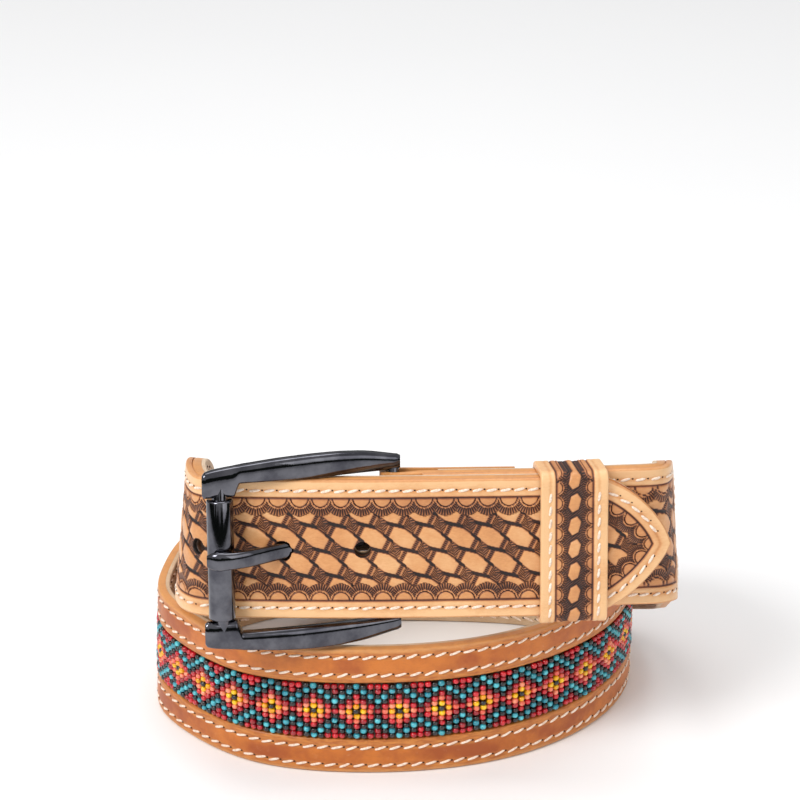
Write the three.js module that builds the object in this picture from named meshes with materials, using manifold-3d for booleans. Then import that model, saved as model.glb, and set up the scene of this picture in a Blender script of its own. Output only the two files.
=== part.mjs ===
// Western belt with a beaded inlay, fastened and standing on its edge in a coil of two turns.
// Millimetres, +Z up, +X to the right along the buckled front, +Y to the back of the coil.

import * as THREE from "three";
import { mergeVertices } from "three/addons/utils/BufferGeometryUtils.js";
import Module from "manifold-3d";

const wasm = await Module();
wasm.setup();

// Strap and its layers
const STRAP_WIDTH = 44.45;
const BODY_THICKNESS = 2.5;
const LINING_THICKNESS = 1.2;
const OVERLAY_THICKNESS = 1.8;
const LAYER_GAP = 0.3;
const LAP_GAP = 0.5;
const STATION_STEP = 5;

// Bead inlay
const BEAD_BAND_WIDTH = 19.6;
const BEAD_BAND_THICKNESS = 1.3;
const BEAD_PROUD = 0.3;
const BEAD_CLEARANCE = 0.3;
const BEAD_UNDER_OVERLAY = 50;

// Overlays at both ends, each ending in a shaped tongue
const BILLET_OVERLAY_LENGTH = 297;
const BUCKLE_OVERLAY_LENGTH = 180;
const BUCKLE_OVERLAY_START = 9;
const TONGUE_LENGTH = 82;

// Billet tip and its row of holes
const TIP_LENGTH = 26;
const TIP_FLAT = 1.6;
const TIP_TO_FIRST_HOLE = 96;
const HOLE_PITCH = 25.4;
const HOLE_COUNT = 5;
const FASTENED_HOLE = 1;
const HOLE_DIAMETER = 5;

// Fold round the heel bar
const FOLD_THICKNESS = 1.9;
const FOLD_TAIL = 38;
const FOLD_SLOT_WIDTH = 8;
const FOLD_SLOT_LENGTH = 13;
const FOLD_EASE = 14;
const FOLD_FORWARD = 1.9;
const LINING_START = 14;

// Keeper loop
const KEEPER_WIDTH = 21;
const KEEPER_WALL = 1.8;
const KEEPER_FROM_HEEL = 45;
const KEEPER_CLEARANCE = 0.5;

// Buckle
const FRAME_LENGTH = 60.5;
const FRAME_HEIGHT = 62.6;
const WINDOW_HEIGHT = 47.5;
const ARM_THICKNESS = 5;
const FRAME_ARCH = 1.5;
const FRAME_DROP = 1;
const HEEL_BAR_DIAMETER = 4;
const FRONT_BAR_DIAMETER = 5;
const HEEL_BAR_INSET = 2.3;
const FRONT_BAR_INSET = 5.2;
const ROLLER_DIAMETER = 8.3;
const ROLLER_LENGTH = 38.4;
const PIVOT_CLEARANCE = 0.35;
const SEAT_CLEARANCE = 0.4;
const PRONG_WIDTH = 6;
const PRONG_THICKNESS = 3.2;
const PRONG_HOLE_FROM_HEEL = 35;
const HEEL_ACROSS = -2;

// Coil
const COIL_REACH = 90;

// Centre line of the billet where it lies over the buckle end.
// Columns: across and depth as shares of COIL_REACH, height as a share of STRAP_WIDTH, lean in degrees.
const LAP_ROUTE = [
  [-0.278, -0.232, 1.755, 10],
  [0, -0.23, 1.755, 10],
  [0.278, -0.222, 1.755, 10],
  [0.589, -0.198, 1.745, 10],
  [0.8, -0.168, 1.735, 9],
];

// From the lap round the right, down to the floor, round the back, the left, the low front,
// the right again inside the first turn, and up the inside of the back to the left of the lap.
const COIL_ROUTE = [
  [0.895, -0.05, 1.68, 8],
  [0.947, 0.08, 1.58, 6],
  [0.968, 0.27, 1.35, 4],
  [0.975, 0.42, 1.17, 2],
  [0.965, 0.57, 0.99, 1],
  [0.91, 0.73, 0.81, 0],
  [0.79, 0.86, 0.66, 0],
  [0.58, 0.95, 0.56, 0],
  [0.3, 0.99, 0.51, 0],
  [0, 1.0, 0.5, 0],
  [-0.32, 0.97, 0.5, 0],
  [-0.57, 0.88, 0.5, 0],
  [-0.74, 0.735, 0.5, 1],
  [-0.835, 0.565, 0.5, 2],
  [-0.88, 0.378, 0.5, 3],
  [-0.873, 0.172, 0.5, 1],
  [-0.828, 0.075, 0.5, 0],
  [-0.75, -0.03, 0.5, -1],
  [-0.644, -0.137, 0.5, -2],
  [-0.511, -0.22, 0.5, -2],
  [-0.333, -0.267, 0.5, -1],
  [-0.089, -0.28, 0.5, 0],
  [0.142, -0.256, 0.5, 0],
  [0.356, -0.192, 0.5, 0],
  [0.539, -0.087, 0.5, 0],
  [0.672, 0.033, 0.5, 0],
  [0.767, 0.161, 0.5, 0],
  [0.834, 0.314, 0.5, 0],
  [0.86, 0.45, 0.5, 0],
  [0.845, 0.58, 0.5, 0],
  [0.78, 0.7, 0.5, 0],
  [0.66, 0.795, 0.5, 0],
  [0.48, 0.86, 0.5, 0],
  [0.25, 0.89, 0.5, 0],
  [0, 0.895, 0.51, 0],
  [-0.25, 0.86, 0.56, 0],
  [-0.46, 0.765, 0.68, 0],
  [-0.62, 0.62, 0.85, 0],
  [-0.715, 0.445, 1.06, 1],
  [-0.738, 0.265, 1.35, 3],
  [-0.747, 0.1, 1.585, 5],
  [-0.738, -0.05, 1.67, 7],
  [-0.69, -0.165, 1.715, 9],
  [-0.565, -0.22, 1.75, 10],
];

// How the billet runs on past the keeper to its tip.
const TIP_ROUTE = [[1.02, -0.125, 1.7, 7]];

// Outline of an overlay's tongue. Columns: distance from its point as a share of TONGUE_LENGTH,
// half width as a share of half the strap.
const TONGUE_OUTLINE = [
  [0, 0.04],
  [0.06, 0.2],
  [0.11, 0.51],
  [0.2, 0.36],
  [0.33, 0.3],
  [0.44, 0.36],
  [0.55, 0.56],
  [0.63, 0.48],
  [0.74, 0.455],
  [0.84, 0.56],
  [0.92, 0.78],
  [1, 1],
];

// Side arm of the frame. Columns: distance from the heel end as a share of FRAME_LENGTH, inner edge as
// a share of half WINDOW_HEIGHT, outer edge as a share of half FRAME_HEIGHT, share of ARM_THICKNESS.
const ARM_SECTIONS = [
  [0, 1, 0.9, 0.75],
  [0.07, 1, 0.93, 0.9],
  [0.18, 1, 0.975, 1],
  [0.32, 1, 0.998, 1],
  [0.46, 1, 1, 1],
  [0.62, 1, 0.985, 1],
  [0.74, 1, 0.962, 1],
  [0.815, 1, 0.945, 1],
  [0.84, 0.83, 0.94, 1],
  [0.96, 0.83, 0.91, 1],
  [1, 0.86, 0.88, 0.8],
];

// Prong. Columns: distance from the heel bar as a share of the bar spacing, share of the rise from the
// heel bar's axis to its place on the roller, share of PRONG_WIDTH, share of PRONG_THICKNESS.
const PRONG_SECTIONS = [
  [0.04, 0.03, 1, 1],
  [0.2, 0.115, 1, 1],
  [0.37, 0.2, 0.98, 0.95],
  [0.5, 0.3, 0.93, 0.95],
  [0.6, 0.44, 0.88, 1],
  [0.72, 0.665, 0.86, 1],
  [0.85, 0.89, 0.9, 1],
  [0.96, 0.99, 0.94, 1],
  [1.04, 1.0, 0.9, 0.9],
  [1.075, 0.985, 0.6, 0.5],
];

const STACK_DEPTH = BODY_THICKNESS + LAYER_GAP + LINING_THICKNESS;
const OVERLAY_TOP = BEAD_PROUD + LAYER_GAP + OVERLAY_THICKNESS;
const LAP_DEPTH = STACK_DEPTH + LAP_GAP + OVERLAY_TOP;
const HALF_STRAP = STRAP_WIDTH / 2;

const UP = new THREE.Vector3(0, 0, 1);

function blend(a, b, share) {
  return a + (b - a) * share;
}

// Second derivatives of a natural cubic through the values at the given knots.
function bendsOf(knots, values) {
  const count = knots.length;
  const bends = new Array(count).fill(0);
  const carry = new Array(count).fill(0);
  for (let i = 1; i < count - 1; i += 1) {
    const before = knots[i] - knots[i - 1];
    const after = knots[i + 1] - knots[i];
    const ratio = before / (before + after);
    const pivot = ratio * bends[i - 1] + 2;
    bends[i] = (ratio - 1) / pivot;
    const slope = (values[i + 1] - values[i]) / after - (values[i] - values[i - 1]) / before;
    carry[i] = ((6 * slope) / (before + after) - ratio * carry[i - 1]) / pivot;
  }
  for (let i = count - 2; i >= 0; i -= 1) {
    bends[i] = bends[i] * bends[i + 1] + carry[i];
  }
  return bends;
}

function cubicAt(knots, values, bends, at) {
  let i = 0;
  while (i < knots.length - 2 && knots[i + 1] < at) {
    i += 1;
  }
  const span = knots[i + 1] - knots[i];
  const a = (knots[i + 1] - at) / span;
  const b = (at - knots[i]) / span;
  const curve = ((a ** 3 - a) * bends[i] + (b ** 3 - b) * bends[i + 1]) * (span ** 2) / 6;
  return a * values[i] + b * values[i + 1] + curve;
}

function sizedRow([across, depth, height, lean]) {
  return [across * COIL_REACH, depth * COIL_REACH, height * STRAP_WIDTH, lean];
}

// The buckle end follows the lap one stack of leather further in.
function sunkLap() {
  const rows = LAP_ROUTE.map(sizedRow);
  return rows.map((row, i) => {
    const before = rows[Math.max(i - 1, 0)];
    const after = rows[Math.min(i + 1, rows.length - 1)];
    const heading = new THREE.Vector3(after[0] - before[0], after[1] - before[1], 0).normalize();
    const lean = THREE.MathUtils.degToRad(row[3]);
    const out = new THREE.Vector3(heading.y, -heading.x, 0).multiplyScalar(Math.cos(lean));
    out.z = Math.sin(lean);
    return [row[0] - out.x * LAP_DEPTH, row[1] - out.y * LAP_DEPTH, row[2] - out.z * LAP_DEPTH, row[3]];
  });
}

const routeRows = [
  ...sunkLap(),
  ...COIL_ROUTE.map(sizedRow),
  ...LAP_ROUTE.map(sizedRow),
  ...TIP_ROUTE.map(sizedRow),
];

const routeKnots = [0];
for (let i = 1; i < routeRows.length; i += 1) {
  const [x0, y0, z0] = routeRows[i - 1];
  const [x1, y1, z1] = routeRows[i];
  routeKnots.push(routeKnots[i - 1] + Math.hypot(x1 - x0, y1 - y0, z1 - z0));
}
const routeColumns = [0, 1, 2, 3].map((column) => routeRows.map((row) => row[column]));
const routeBends = routeColumns.map((values) => bendsOf(routeKnots, values));

function routeAt(knot) {
  return routeColumns.map((values, column) => cubicAt(routeKnots, values, routeBends[column], knot));
}

// Length run along the centre line, measured at close steps.
const CLOSE_STEP = 0.5;
const closeKnots = [];
const closeLengths = [];
for (let knot = 0; knot <= routeKnots[routeKnots.length - 1]; knot += CLOSE_STEP) {
  const here = routeAt(knot);
  if (closeKnots.length === 0) {
    closeLengths.push(0);
  } else {
    const last = routeAt(closeKnots[closeKnots.length - 1]);
    const run = Math.hypot(here[0] - last[0], here[1] - last[1], here[2] - last[2]);
    closeLengths.push(closeLengths[closeLengths.length - 1] + run);
  }
  closeKnots.push(knot);
}

function knotAtLength(length) {
  let low = 0;
  let high = closeLengths.length - 1;
  while (high - low > 1) {
    const middle = (low + high) >> 1;
    if (closeLengths[middle] < length) {
      low = middle;
    } else {
      high = middle;
    }
  }
  const share = (length - closeLengths[low]) / (closeLengths[high] - closeLengths[low]);
  return blend(closeKnots[low], closeKnots[high], share);
}

// First length, from a given knot on, at which the centre line reaches a place across.
function lengthAtAcross(across, fromKnot) {
  let i = closeKnots.findIndex((knot) => knot >= fromKnot);
  while (i < closeKnots.length - 1 && routeAt(closeKnots[i])[0] < across) {
    i += 1;
  }
  const before = routeAt(closeKnots[i - 1])[0];
  const after = routeAt(closeKnots[i])[0];
  return blend(closeLengths[i - 1], closeLengths[i], (across - before) / (after - before));
}

// Place of the strap's centre at a length, with its heading, outward and upward directions.
function strapAt(length) {
  const knot = knotAtLength(length);
  const [x, y, z, leanDegrees] = routeAt(knot);
  const ahead = routeAt(knot + CLOSE_STEP);
  const behind = routeAt(knot - CLOSE_STEP);
  const heading = new THREE.Vector3(ahead[0] - behind[0], ahead[1] - behind[1], ahead[2] - behind[2]);
  heading.normalize();
  const upright = UP.clone().addScaledVector(heading, -UP.dot(heading)).normalize();
  const facing = heading.clone().cross(upright);
  const lean = THREE.MathUtils.degToRad(leanDegrees);
  const rise = upright.clone().multiplyScalar(Math.cos(lean)).addScaledVector(facing, -Math.sin(lean));
  const out = facing.clone().multiplyScalar(Math.cos(lean)).addScaledVector(upright, Math.sin(lean));
  return { centre: new THREE.Vector3(x, y, z), heading, out, rise };
}

function placed(frame, across, outward, along = 0) {
  return frame.centre.clone()
    .addScaledVector(frame.rise, across)
    .addScaledVector(frame.out, outward)
    .addScaledVector(frame.heading, along);
}

const lapStartKnot = routeKnots[LAP_ROUTE.length + COIL_ROUTE.length - 2];
const heelLength = lengthAtAcross(HEEL_ACROSS, 0);
const heelOnBillet = lengthAtAcross(HEEL_ACROSS, lapStartKnot);
const fastenedLength = heelOnBillet - PRONG_HOLE_FROM_HEEL;
const tipLength = fastenedLength + TIP_TO_FIRST_HOLE + FASTENED_HOLE * HOLE_PITCH;

// Closed skin over a row of sections, each a ring of points. Opposite sides are split along the same
// diagonals, so that layers which twist together stay parallel.
function skinOver(sections) {
  const points = sections.flat();
  const ring = sections[0].length;
  const positions = points.flatMap((point) => [point.x, point.y, point.z]);
  const faces = [];
  for (let i = 0; i < sections.length - 1; i += 1) {
    for (let j = 0; j < ring; j += 1) {
      const a = i * ring + j;
      const b = i * ring + ((j + 1) % ring);
      if (j < ring / 2) {
        faces.push(a, b, b + ring, a, b + ring, a + ring);
      } else {
        faces.push(a, b, a + ring, b, b + ring, a + ring);
      }
    }
  }
  const last = (sections.length - 1) * ring;
  for (let j = 1; j < ring - 1; j += 1) {
    faces.push(0, j + 1, j, last, last + j, last + j + 1);
  }
  let volume = 0;
  for (let i = 0; i < faces.length; i += 3) {
    const [a, b, c] = [points[faces[i]], points[faces[i + 1]], points[faces[i + 2]]];
    volume += a.dot(b.clone().cross(c));
  }
  if (volume < 0) {
    faces.reverse();
  }
  const geometry = new THREE.BufferGeometry();
  geometry.setAttribute("position", new THREE.Float32BufferAttribute(positions, 3));
  geometry.setIndex(faces);
  return geometry;
}

function solidOf(geometry) {
  const bare = geometry.clone();
  bare.deleteAttribute("normal");
  bare.deleteAttribute("uv");
  const merged = mergeVertices(bare, 1e-4);
  return new wasm.Manifold(new wasm.Mesh({
    numProp: 3,
    vertProperties: new Float32Array(merged.attributes.position.array),
    triVerts: new Uint32Array(merged.index.array),
  }));
}

function geometryOf(solid) {
  const mesh = solid.getMesh();
  const geometry = new THREE.BufferGeometry();
  geometry.setAttribute("position", new THREE.Float32BufferAttribute(mesh.vertProperties, 3));
  geometry.setIndex([...mesh.triVerts]);
  return geometry;
}

function cutFrom(geometry, cutters) {
  return geometryOf(cutters.reduce((left, cutter) => left.subtract(solidOf(cutter)), solidOf(geometry)));
}

function joined(geometries) {
  return geometryOf(geometries.map(solidOf).reduce((left, right) => left.add(right)));
}

// Lengths at which a band from start to end has its sections. All the layers share one row of stations.
function stationsBetween(start, end, extra = []) {
  const first = Math.ceil(start / STATION_STEP);
  const last = Math.floor(end / STATION_STEP);
  const shared = Array.from({ length: last - first + 1 }, (_, i) => (first + i) * STATION_STEP);
  const own = [start, end, ...extra];
  const kept = shared.filter((at) => own.every((other) => Math.abs(other - at) > STATION_STEP / 6));
  return [...new Set([...kept, ...own])].sort((a, b) => a - b);
}

// Band of leather along the strap between two outward offsets, with a half width that may vary.
function bandAlong(lengths, halfWidthAt, inner, outer) {
  return skinOver(lengths.map((length) => {
    const frame = strapAt(length);
    const half = halfWidthAt(length);
    return [
      placed(frame, -half, inner),
      placed(frame, half, inner),
      placed(frame, half, outer),
      placed(frame, -half, outer),
    ];
  }));
}

function tipHalfWidth(length) {
  const share = Math.min(Math.max((tipLength - length) / TIP_LENGTH, 0), 1);
  const rounded = (1 - (1 - share) ** 1.6) ** 0.72;
  return Math.max(HALF_STRAP * rounded, TIP_FLAT / 2);
}

const TIP_SHARES = [0, 0.04, 0.12, 0.24, 0.4, 0.6, 0.8, 1];
const tipStations = TIP_SHARES.map((share) => tipLength - share * TIP_LENGTH);

function tongueHalfWidth(share) {
  let i = 0;
  while (i < TONGUE_OUTLINE.length - 2 && TONGUE_OUTLINE[i + 1][0] < share) {
    i += 1;
  }
  const [from, narrow] = TONGUE_OUTLINE[i];
  const [to, wide] = TONGUE_OUTLINE[i + 1];
  const within = THREE.MathUtils.clamp((share - from) / (to - from), 0, 1);
  return HALF_STRAP * blend(narrow, wide, within);
}

function tongueStations(point, direction) {
  return TONGUE_OUTLINE.map(([share]) => point + direction * share * TONGUE_LENGTH);
}

// Prong, worked out in the plane of the lap at the heel bar.
const lap = strapAt(heelOnBillet);
const heelOut = FOLD_FORWARD - (LAP_DEPTH + FOLD_THICKNESS + SEAT_CLEARANCE + HEEL_BAR_DIAMETER / 2);
const rollerOut = OVERLAY_TOP + SEAT_CLEARANCE + ROLLER_DIAMETER / 2;
const barSpacing = FRAME_LENGTH - HEEL_BAR_INSET - FRONT_BAR_INSET;
const prongRise = rollerOut + ROLLER_DIAMETER / 2 + LAYER_GAP + PRONG_THICKNESS / 2 - heelOut;

function prongSkin(grown) {
  return skinOver(PRONG_SECTIONS.map(([along, rise, width, thickness]) => {
    const halfWidth = PRONG_WIDTH * width / 2 + grown;
    const halfThickness = PRONG_THICKNESS * thickness / 2 + grown;
    const place = (across, outward) => placed(
      lap,
      across,
      heelOut + rise * prongRise + outward,
      -along * barSpacing,
    );
    return chamferedRing(halfWidth, halfThickness).map(([across, outward]) => place(across, outward));
  }));
}

// Eight-sided section, a rectangle with its corners taken off.
function chamferedRing(halfWidth, halfThickness) {
  const corner = Math.min(halfWidth, halfThickness) * 0.55;
  const signs = [[1, 1], [-1, 1], [-1, -1], [1, -1]];
  return signs.flatMap(([x, y]) => {
    const side = [x * halfWidth, y * (halfThickness - corner)];
    const top = [x * (halfWidth - corner), y * halfThickness];
    return x * y > 0 ? [side, top] : [top, side];
  });
}

// Round bar or hole along a direction through a middle point.
function barGeometry(middle, direction, radius, length, sides) {
  const bar = new THREE.CylinderGeometry(radius, radius, length, sides);
  const turn = new THREE.Quaternion().setFromUnitVectors(new THREE.Vector3(0, 1, 0), direction);
  bar.applyQuaternion(turn);
  bar.translate(middle.x, middle.y, middle.z);
  return bar;
}

function sleeveGeometry(middle, direction, bore, outside, length, sides) {
  const half = length / 2;
  const profile = [[bore, -half], [outside, -half], [outside, half], [bore, half], [bore, -half]];
  const sleeve = new THREE.LatheGeometry(profile.map(([x, y]) => new THREE.Vector2(x, y)), sides);
  sleeve.applyQuaternion(new THREE.Quaternion().setFromUnitVectors(new THREE.Vector3(0, 1, 0), direction));
  sleeve.translate(middle.x, middle.y, middle.z);
  return sleeve;
}

function holeCutters() {
  const open = Array.from({ length: HOLE_COUNT }, (_, i) => i).filter((i) => i !== FASTENED_HOLE);
  return open.map((i) => {
    const frame = strapAt(tipLength - TIP_TO_FIRST_HOLE - i * HOLE_PITCH);
    return barGeometry(frame.centre, frame.out, HOLE_DIAMETER / 2, 4 * STACK_DEPTH, 12);
  });
}

const prongTunnel = prongSkin(SEAT_CLEARANCE);
const billetCutters = [...holeCutters(), prongTunnel];

// The body leather: tail behind the buckle end, fold round the heel bar, then the whole strap.
function bodyLeather() {
  const heelFrame = strapAt(heelLength);
  const foldInner = HEEL_BAR_DIAMETER / 2 + SEAT_CLEARANCE;
  const foldOuter = foldInner + FOLD_THICKNESS;
  const barBehind = FOLD_FORWARD - foldOuter;
  const section = (frame, inner, outer, half, along = 0, innerAlong = along) => [
    placed(frame, -half, inner, innerAlong),
    placed(frame, half, inner, innerAlong),
    placed(frame, half, outer, along),
    placed(frame, -half, outer, along),
  ];
  const tailStart = heelLength + STATION_STEP / 4;
  const tail = stationsBetween(tailStart, heelLength + FOLD_TAIL).reverse().map((length) => {
    const settled = THREE.MathUtils.smoothstep(length - heelLength, 0, FOLD_EASE);
    const near = barBehind - foldInner;
    const far = -(STACK_DEPTH + SEAT_CLEARANCE);
    const face = blend(near, far, settled);
    return section(strapAt(length), face, face - FOLD_THICKNESS, HALF_STRAP);
  });
  const TURNS = 8;
  const fold = Array.from({ length: TURNS + 1 }, (_, i) => {
    const angle = Math.PI * (1 - i / TURNS);
    const out = Math.cos(angle);
    const back = -Math.sin(angle);
    return section(
      heelFrame,
      barBehind + out * foldInner,
      barBehind + out * foldOuter,
      HALF_STRAP,
      back * foldOuter,
      back * foldInner,
    );
  });
  const run = stationsBetween(heelLength + STATION_STEP / 2, tipLength, tipStations).map((length) => {
    const settled = THREE.MathUtils.smoothstep(length - heelLength, STATION_STEP, LINING_START);
    const forward = FOLD_FORWARD * (1 - THREE.MathUtils.smoothstep(length - heelLength, 0, BUCKLE_OVERLAY_START));
    const thickness = blend(FOLD_THICKNESS, BODY_THICKNESS, settled);
    return section(strapAt(length), forward - thickness, forward, tipHalfWidth(length));
  });
  const whole = skinOver([...tail, ...fold, ...run]);
  const slotRing = (along) => chamferedRing(FOLD_SLOT_WIDTH / 2, 3 * STACK_DEPTH).map(([across, outward]) => (
    placed(heelFrame, across, barBehind + outward, along)
  ));
  const slot = skinOver([slotRing(-foldOuter - 1), slotRing(FOLD_SLOT_LENGTH - foldOuter - 1)]);
  const channelDepth = BEAD_BAND_THICKNESS - BEAD_PROUD + BEAD_CLEARANCE;
  const channelHalf = BEAD_BAND_WIDTH / 2 + BEAD_CLEARANCE;
  const channelStations = stationsBetween(beadStart - BEAD_CLEARANCE, beadEnd + BEAD_CLEARANCE);
  const channel = bandAlong(channelStations, () => channelHalf, -channelDepth, 2);
  return cutFrom(whole, [slot, channel, ...billetCutters]);
}

const beadStart = heelLength + BUCKLE_OVERLAY_LENGTH - BEAD_UNDER_OVERLAY;
const beadEnd = tipLength - BILLET_OVERLAY_LENGTH + BEAD_UNDER_OVERLAY;

function lining() {
  const lengths = stationsBetween(heelLength + LINING_START, tipLength, tipStations);
  const inner = -STACK_DEPTH;
  const outer = -(BODY_THICKNESS + LAYER_GAP);
  return cutFrom(bandAlong(lengths, tipHalfWidth, inner, outer), billetCutters);
}

function beadBand() {
  const lengths = stationsBetween(beadStart, beadEnd);
  const inner = BEAD_PROUD - BEAD_BAND_THICKNESS;
  return bandAlong(lengths, () => BEAD_BAND_WIDTH / 2, inner, BEAD_PROUD);
}

function billetOverlay() {
  const point = tipLength - BILLET_OVERLAY_LENGTH;
  const lengths = stationsBetween(point, tipLength, [...tongueStations(point, 1), ...tipStations]);
  const halfWidthAt = (length) => (
    Math.min(tongueHalfWidth((length - point) / TONGUE_LENGTH), tipHalfWidth(length))
  );
  return cutFrom(bandAlong(lengths, halfWidthAt, BEAD_PROUD + LAYER_GAP, OVERLAY_TOP), billetCutters);
}

function buckleOverlay() {
  const point = heelLength + BUCKLE_OVERLAY_LENGTH;
  const lengths = stationsBetween(heelLength + BUCKLE_OVERLAY_START, point, tongueStations(point, -1));
  const halfWidthAt = (length) => tongueHalfWidth((point - length) / TONGUE_LENGTH);
  return bandAlong(lengths, halfWidthAt, BEAD_PROUD + LAYER_GAP, OVERLAY_TOP);
}

function keeper() {
  const middle = strapAt(heelOnBillet + KEEPER_FROM_HEEL + KEEPER_WIDTH / 2);
  const innerHalf = HALF_STRAP + KEEPER_CLEARANCE;
  const front = OVERLAY_TOP + KEEPER_CLEARANCE;
  const back = -(LAP_DEPTH + STACK_DEPTH + KEEPER_CLEARANCE);
  const shape = roundedRectangle(-innerHalf - KEEPER_WALL, innerHalf + KEEPER_WALL,
    back - KEEPER_WALL, front + KEEPER_WALL, KEEPER_WALL * 1.4);
  shape.holes.push(roundedRectangle(-innerHalf, innerHalf, back, front, KEEPER_WALL * 0.4));
  const ring = new THREE.ExtrudeGeometry(shape, {
    depth: KEEPER_WIDTH,
    steps: 1,
    bevelEnabled: false,
    curveSegments: 3,
  });
  ring.translate(0, 0, -KEEPER_WIDTH / 2);
  const basis = new THREE.Matrix4().makeBasis(middle.rise, middle.out, middle.heading.clone().negate());
  const handed = basis.determinant() > 0 ? 1 : -1;
  basis.makeBasis(middle.rise, middle.out, middle.heading.clone().multiplyScalar(-handed));
  ring.applyMatrix4(basis.setPosition(middle.centre));
  return ring;
}

function roundedRectangle(left, right, bottom, top, radius) {
  const shape = new THREE.Shape();
  shape.moveTo(left + radius, bottom);
  shape.lineTo(right - radius, bottom);
  shape.quadraticCurveTo(right, bottom, right, bottom + radius);
  shape.lineTo(right, top - radius);
  shape.quadraticCurveTo(right, top, right - radius, top);
  shape.lineTo(left + radius, top);
  shape.quadraticCurveTo(left, top, left, top - radius);
  shape.lineTo(left, bottom + radius);
  shape.quadraticCurveTo(left, bottom, left + radius, bottom);
  return shape;
}

// Outward offset of the frame's middle plane at a share of its length from the heel end.
function frameOut(share) {
  const along = share * FRAME_LENGTH - HEEL_BAR_INSET;
  const slanted = blend(heelOut, rollerOut, along / barSpacing);
  return slanted + FRAME_ARCH * Math.sin(Math.PI * share) ** 2;
}

function frameArm(side) {
  return skinOver(ARM_SECTIONS.map(([share, innerShare, outerShare, thickness]) => {
    const inner = innerShare * WINDOW_HEIGHT / 2;
    const outer = outerShare * FRAME_HEIGHT / 2;
    const along = HEEL_BAR_INSET - share * FRAME_LENGTH;
    const ring = chamferedRing((outer - inner) / 2, ARM_THICKNESS * thickness / 2);
    return ring.map(([across, outward]) => (
      placed(lap, side * (across + (inner + outer) / 2) - FRAME_DROP, frameOut(share) + outward, along)
    ));
  }));
}

function buckleFrame() {
  const barLength = WINDOW_HEIGHT + 2;
  const heelBar = barGeometry(
    placed(lap, -FRAME_DROP, heelOut),
    lap.rise,
    HEEL_BAR_DIAMETER / 2,
    barLength,
    14,
  );
  const frontBar = barGeometry(
    placed(lap, -FRAME_DROP, rollerOut, -barSpacing),
    lap.rise,
    FRONT_BAR_DIAMETER / 2,
    barLength,
    14,
  );
  return joined([frameArm(1), frameArm(-1), heelBar, frontBar]);
}

function buckleRoller() {
  const middle = placed(lap, -FRAME_DROP, rollerOut, -barSpacing);
  const bore = FRONT_BAR_DIAMETER / 2 + PIVOT_CLEARANCE;
  return sleeveGeometry(middle, lap.rise, bore, ROLLER_DIAMETER / 2, ROLLER_LENGTH, 20);
}

function buckleProng() {
  const bore = HEEL_BAR_DIAMETER / 2 + PIVOT_CLEARANCE;
  const eye = sleeveGeometry(placed(lap, 0, heelOut), lap.rise, bore, bore + 1.5, PRONG_WIDTH, 20);
  const barHole = barGeometry(placed(lap, 0, heelOut), lap.rise, bore, 2 * PRONG_WIDTH, 20);
  return joined([eye, cutFrom(prongSkin(0), [barHole])]);
}

const leather = (color, roughness = 0.6) => ({ color, roughness, metalness: 0 });
const metal = { color: 0x2b2a2d, roughness: 0.22, metalness: 1 };

const pieces = [
  ["lining", lining(), leather(0xd8b78f, 0.75)],
  ["body_leather", bodyLeather(), leather(0xc47a33)],
  ["bead_band", beadBand(), leather(0xa02a30, 0.3)],
  ["billet_overlay", billetOverlay(), leather(0xb88253)],
  ["buckle_overlay", buckleOverlay(), leather(0xb88253)],
  ["keeper", keeper(), leather(0xa8744a)],
  ["buckle_frame", buckleFrame(), metal],
  ["buckle_roller", buckleRoller(), metal],
  ["buckle_prong", buckleProng(), metal],
];

const belt = new THREE.Group();
for (const [name, geometry, finish] of pieces) {
  const mesh = new THREE.Mesh(geometry, new THREE.MeshStandardMaterial(finish));
  mesh.name = name;
  belt.add(mesh);
}

// The origin lies under the middle of the belt's box, on the surface that it stands on.
const box = new THREE.Box3().setFromObject(belt);
belt.position.set(-(box.min.x + box.max.x) / 2, -(box.min.y + box.max.y) / 2, -box.min.z);
belt.updateMatrixWorld(true);

export default belt;
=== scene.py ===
# Looks of a tooled western belt with a beaded inlay, fastened and standing on its edge in a coil.
# Lengths are worked out in millimetres along and across the strap and turned into metres in each mesh.

import math

import bpy
import numpy as np
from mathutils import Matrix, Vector


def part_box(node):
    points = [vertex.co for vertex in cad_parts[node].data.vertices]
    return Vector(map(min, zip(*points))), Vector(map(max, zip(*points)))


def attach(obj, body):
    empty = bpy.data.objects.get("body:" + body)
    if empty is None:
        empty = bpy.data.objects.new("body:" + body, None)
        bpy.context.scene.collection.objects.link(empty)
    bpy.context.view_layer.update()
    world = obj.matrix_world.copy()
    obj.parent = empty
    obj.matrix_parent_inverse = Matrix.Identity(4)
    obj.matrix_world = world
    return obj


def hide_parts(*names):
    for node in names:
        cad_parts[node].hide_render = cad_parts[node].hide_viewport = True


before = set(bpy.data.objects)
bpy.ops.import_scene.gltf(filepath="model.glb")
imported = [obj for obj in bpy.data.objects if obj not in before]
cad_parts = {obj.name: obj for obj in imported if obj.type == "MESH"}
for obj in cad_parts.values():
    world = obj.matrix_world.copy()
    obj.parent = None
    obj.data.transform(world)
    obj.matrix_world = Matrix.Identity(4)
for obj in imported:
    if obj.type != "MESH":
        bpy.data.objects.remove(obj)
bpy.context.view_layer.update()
random = np.random.default_rng(11)

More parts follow.
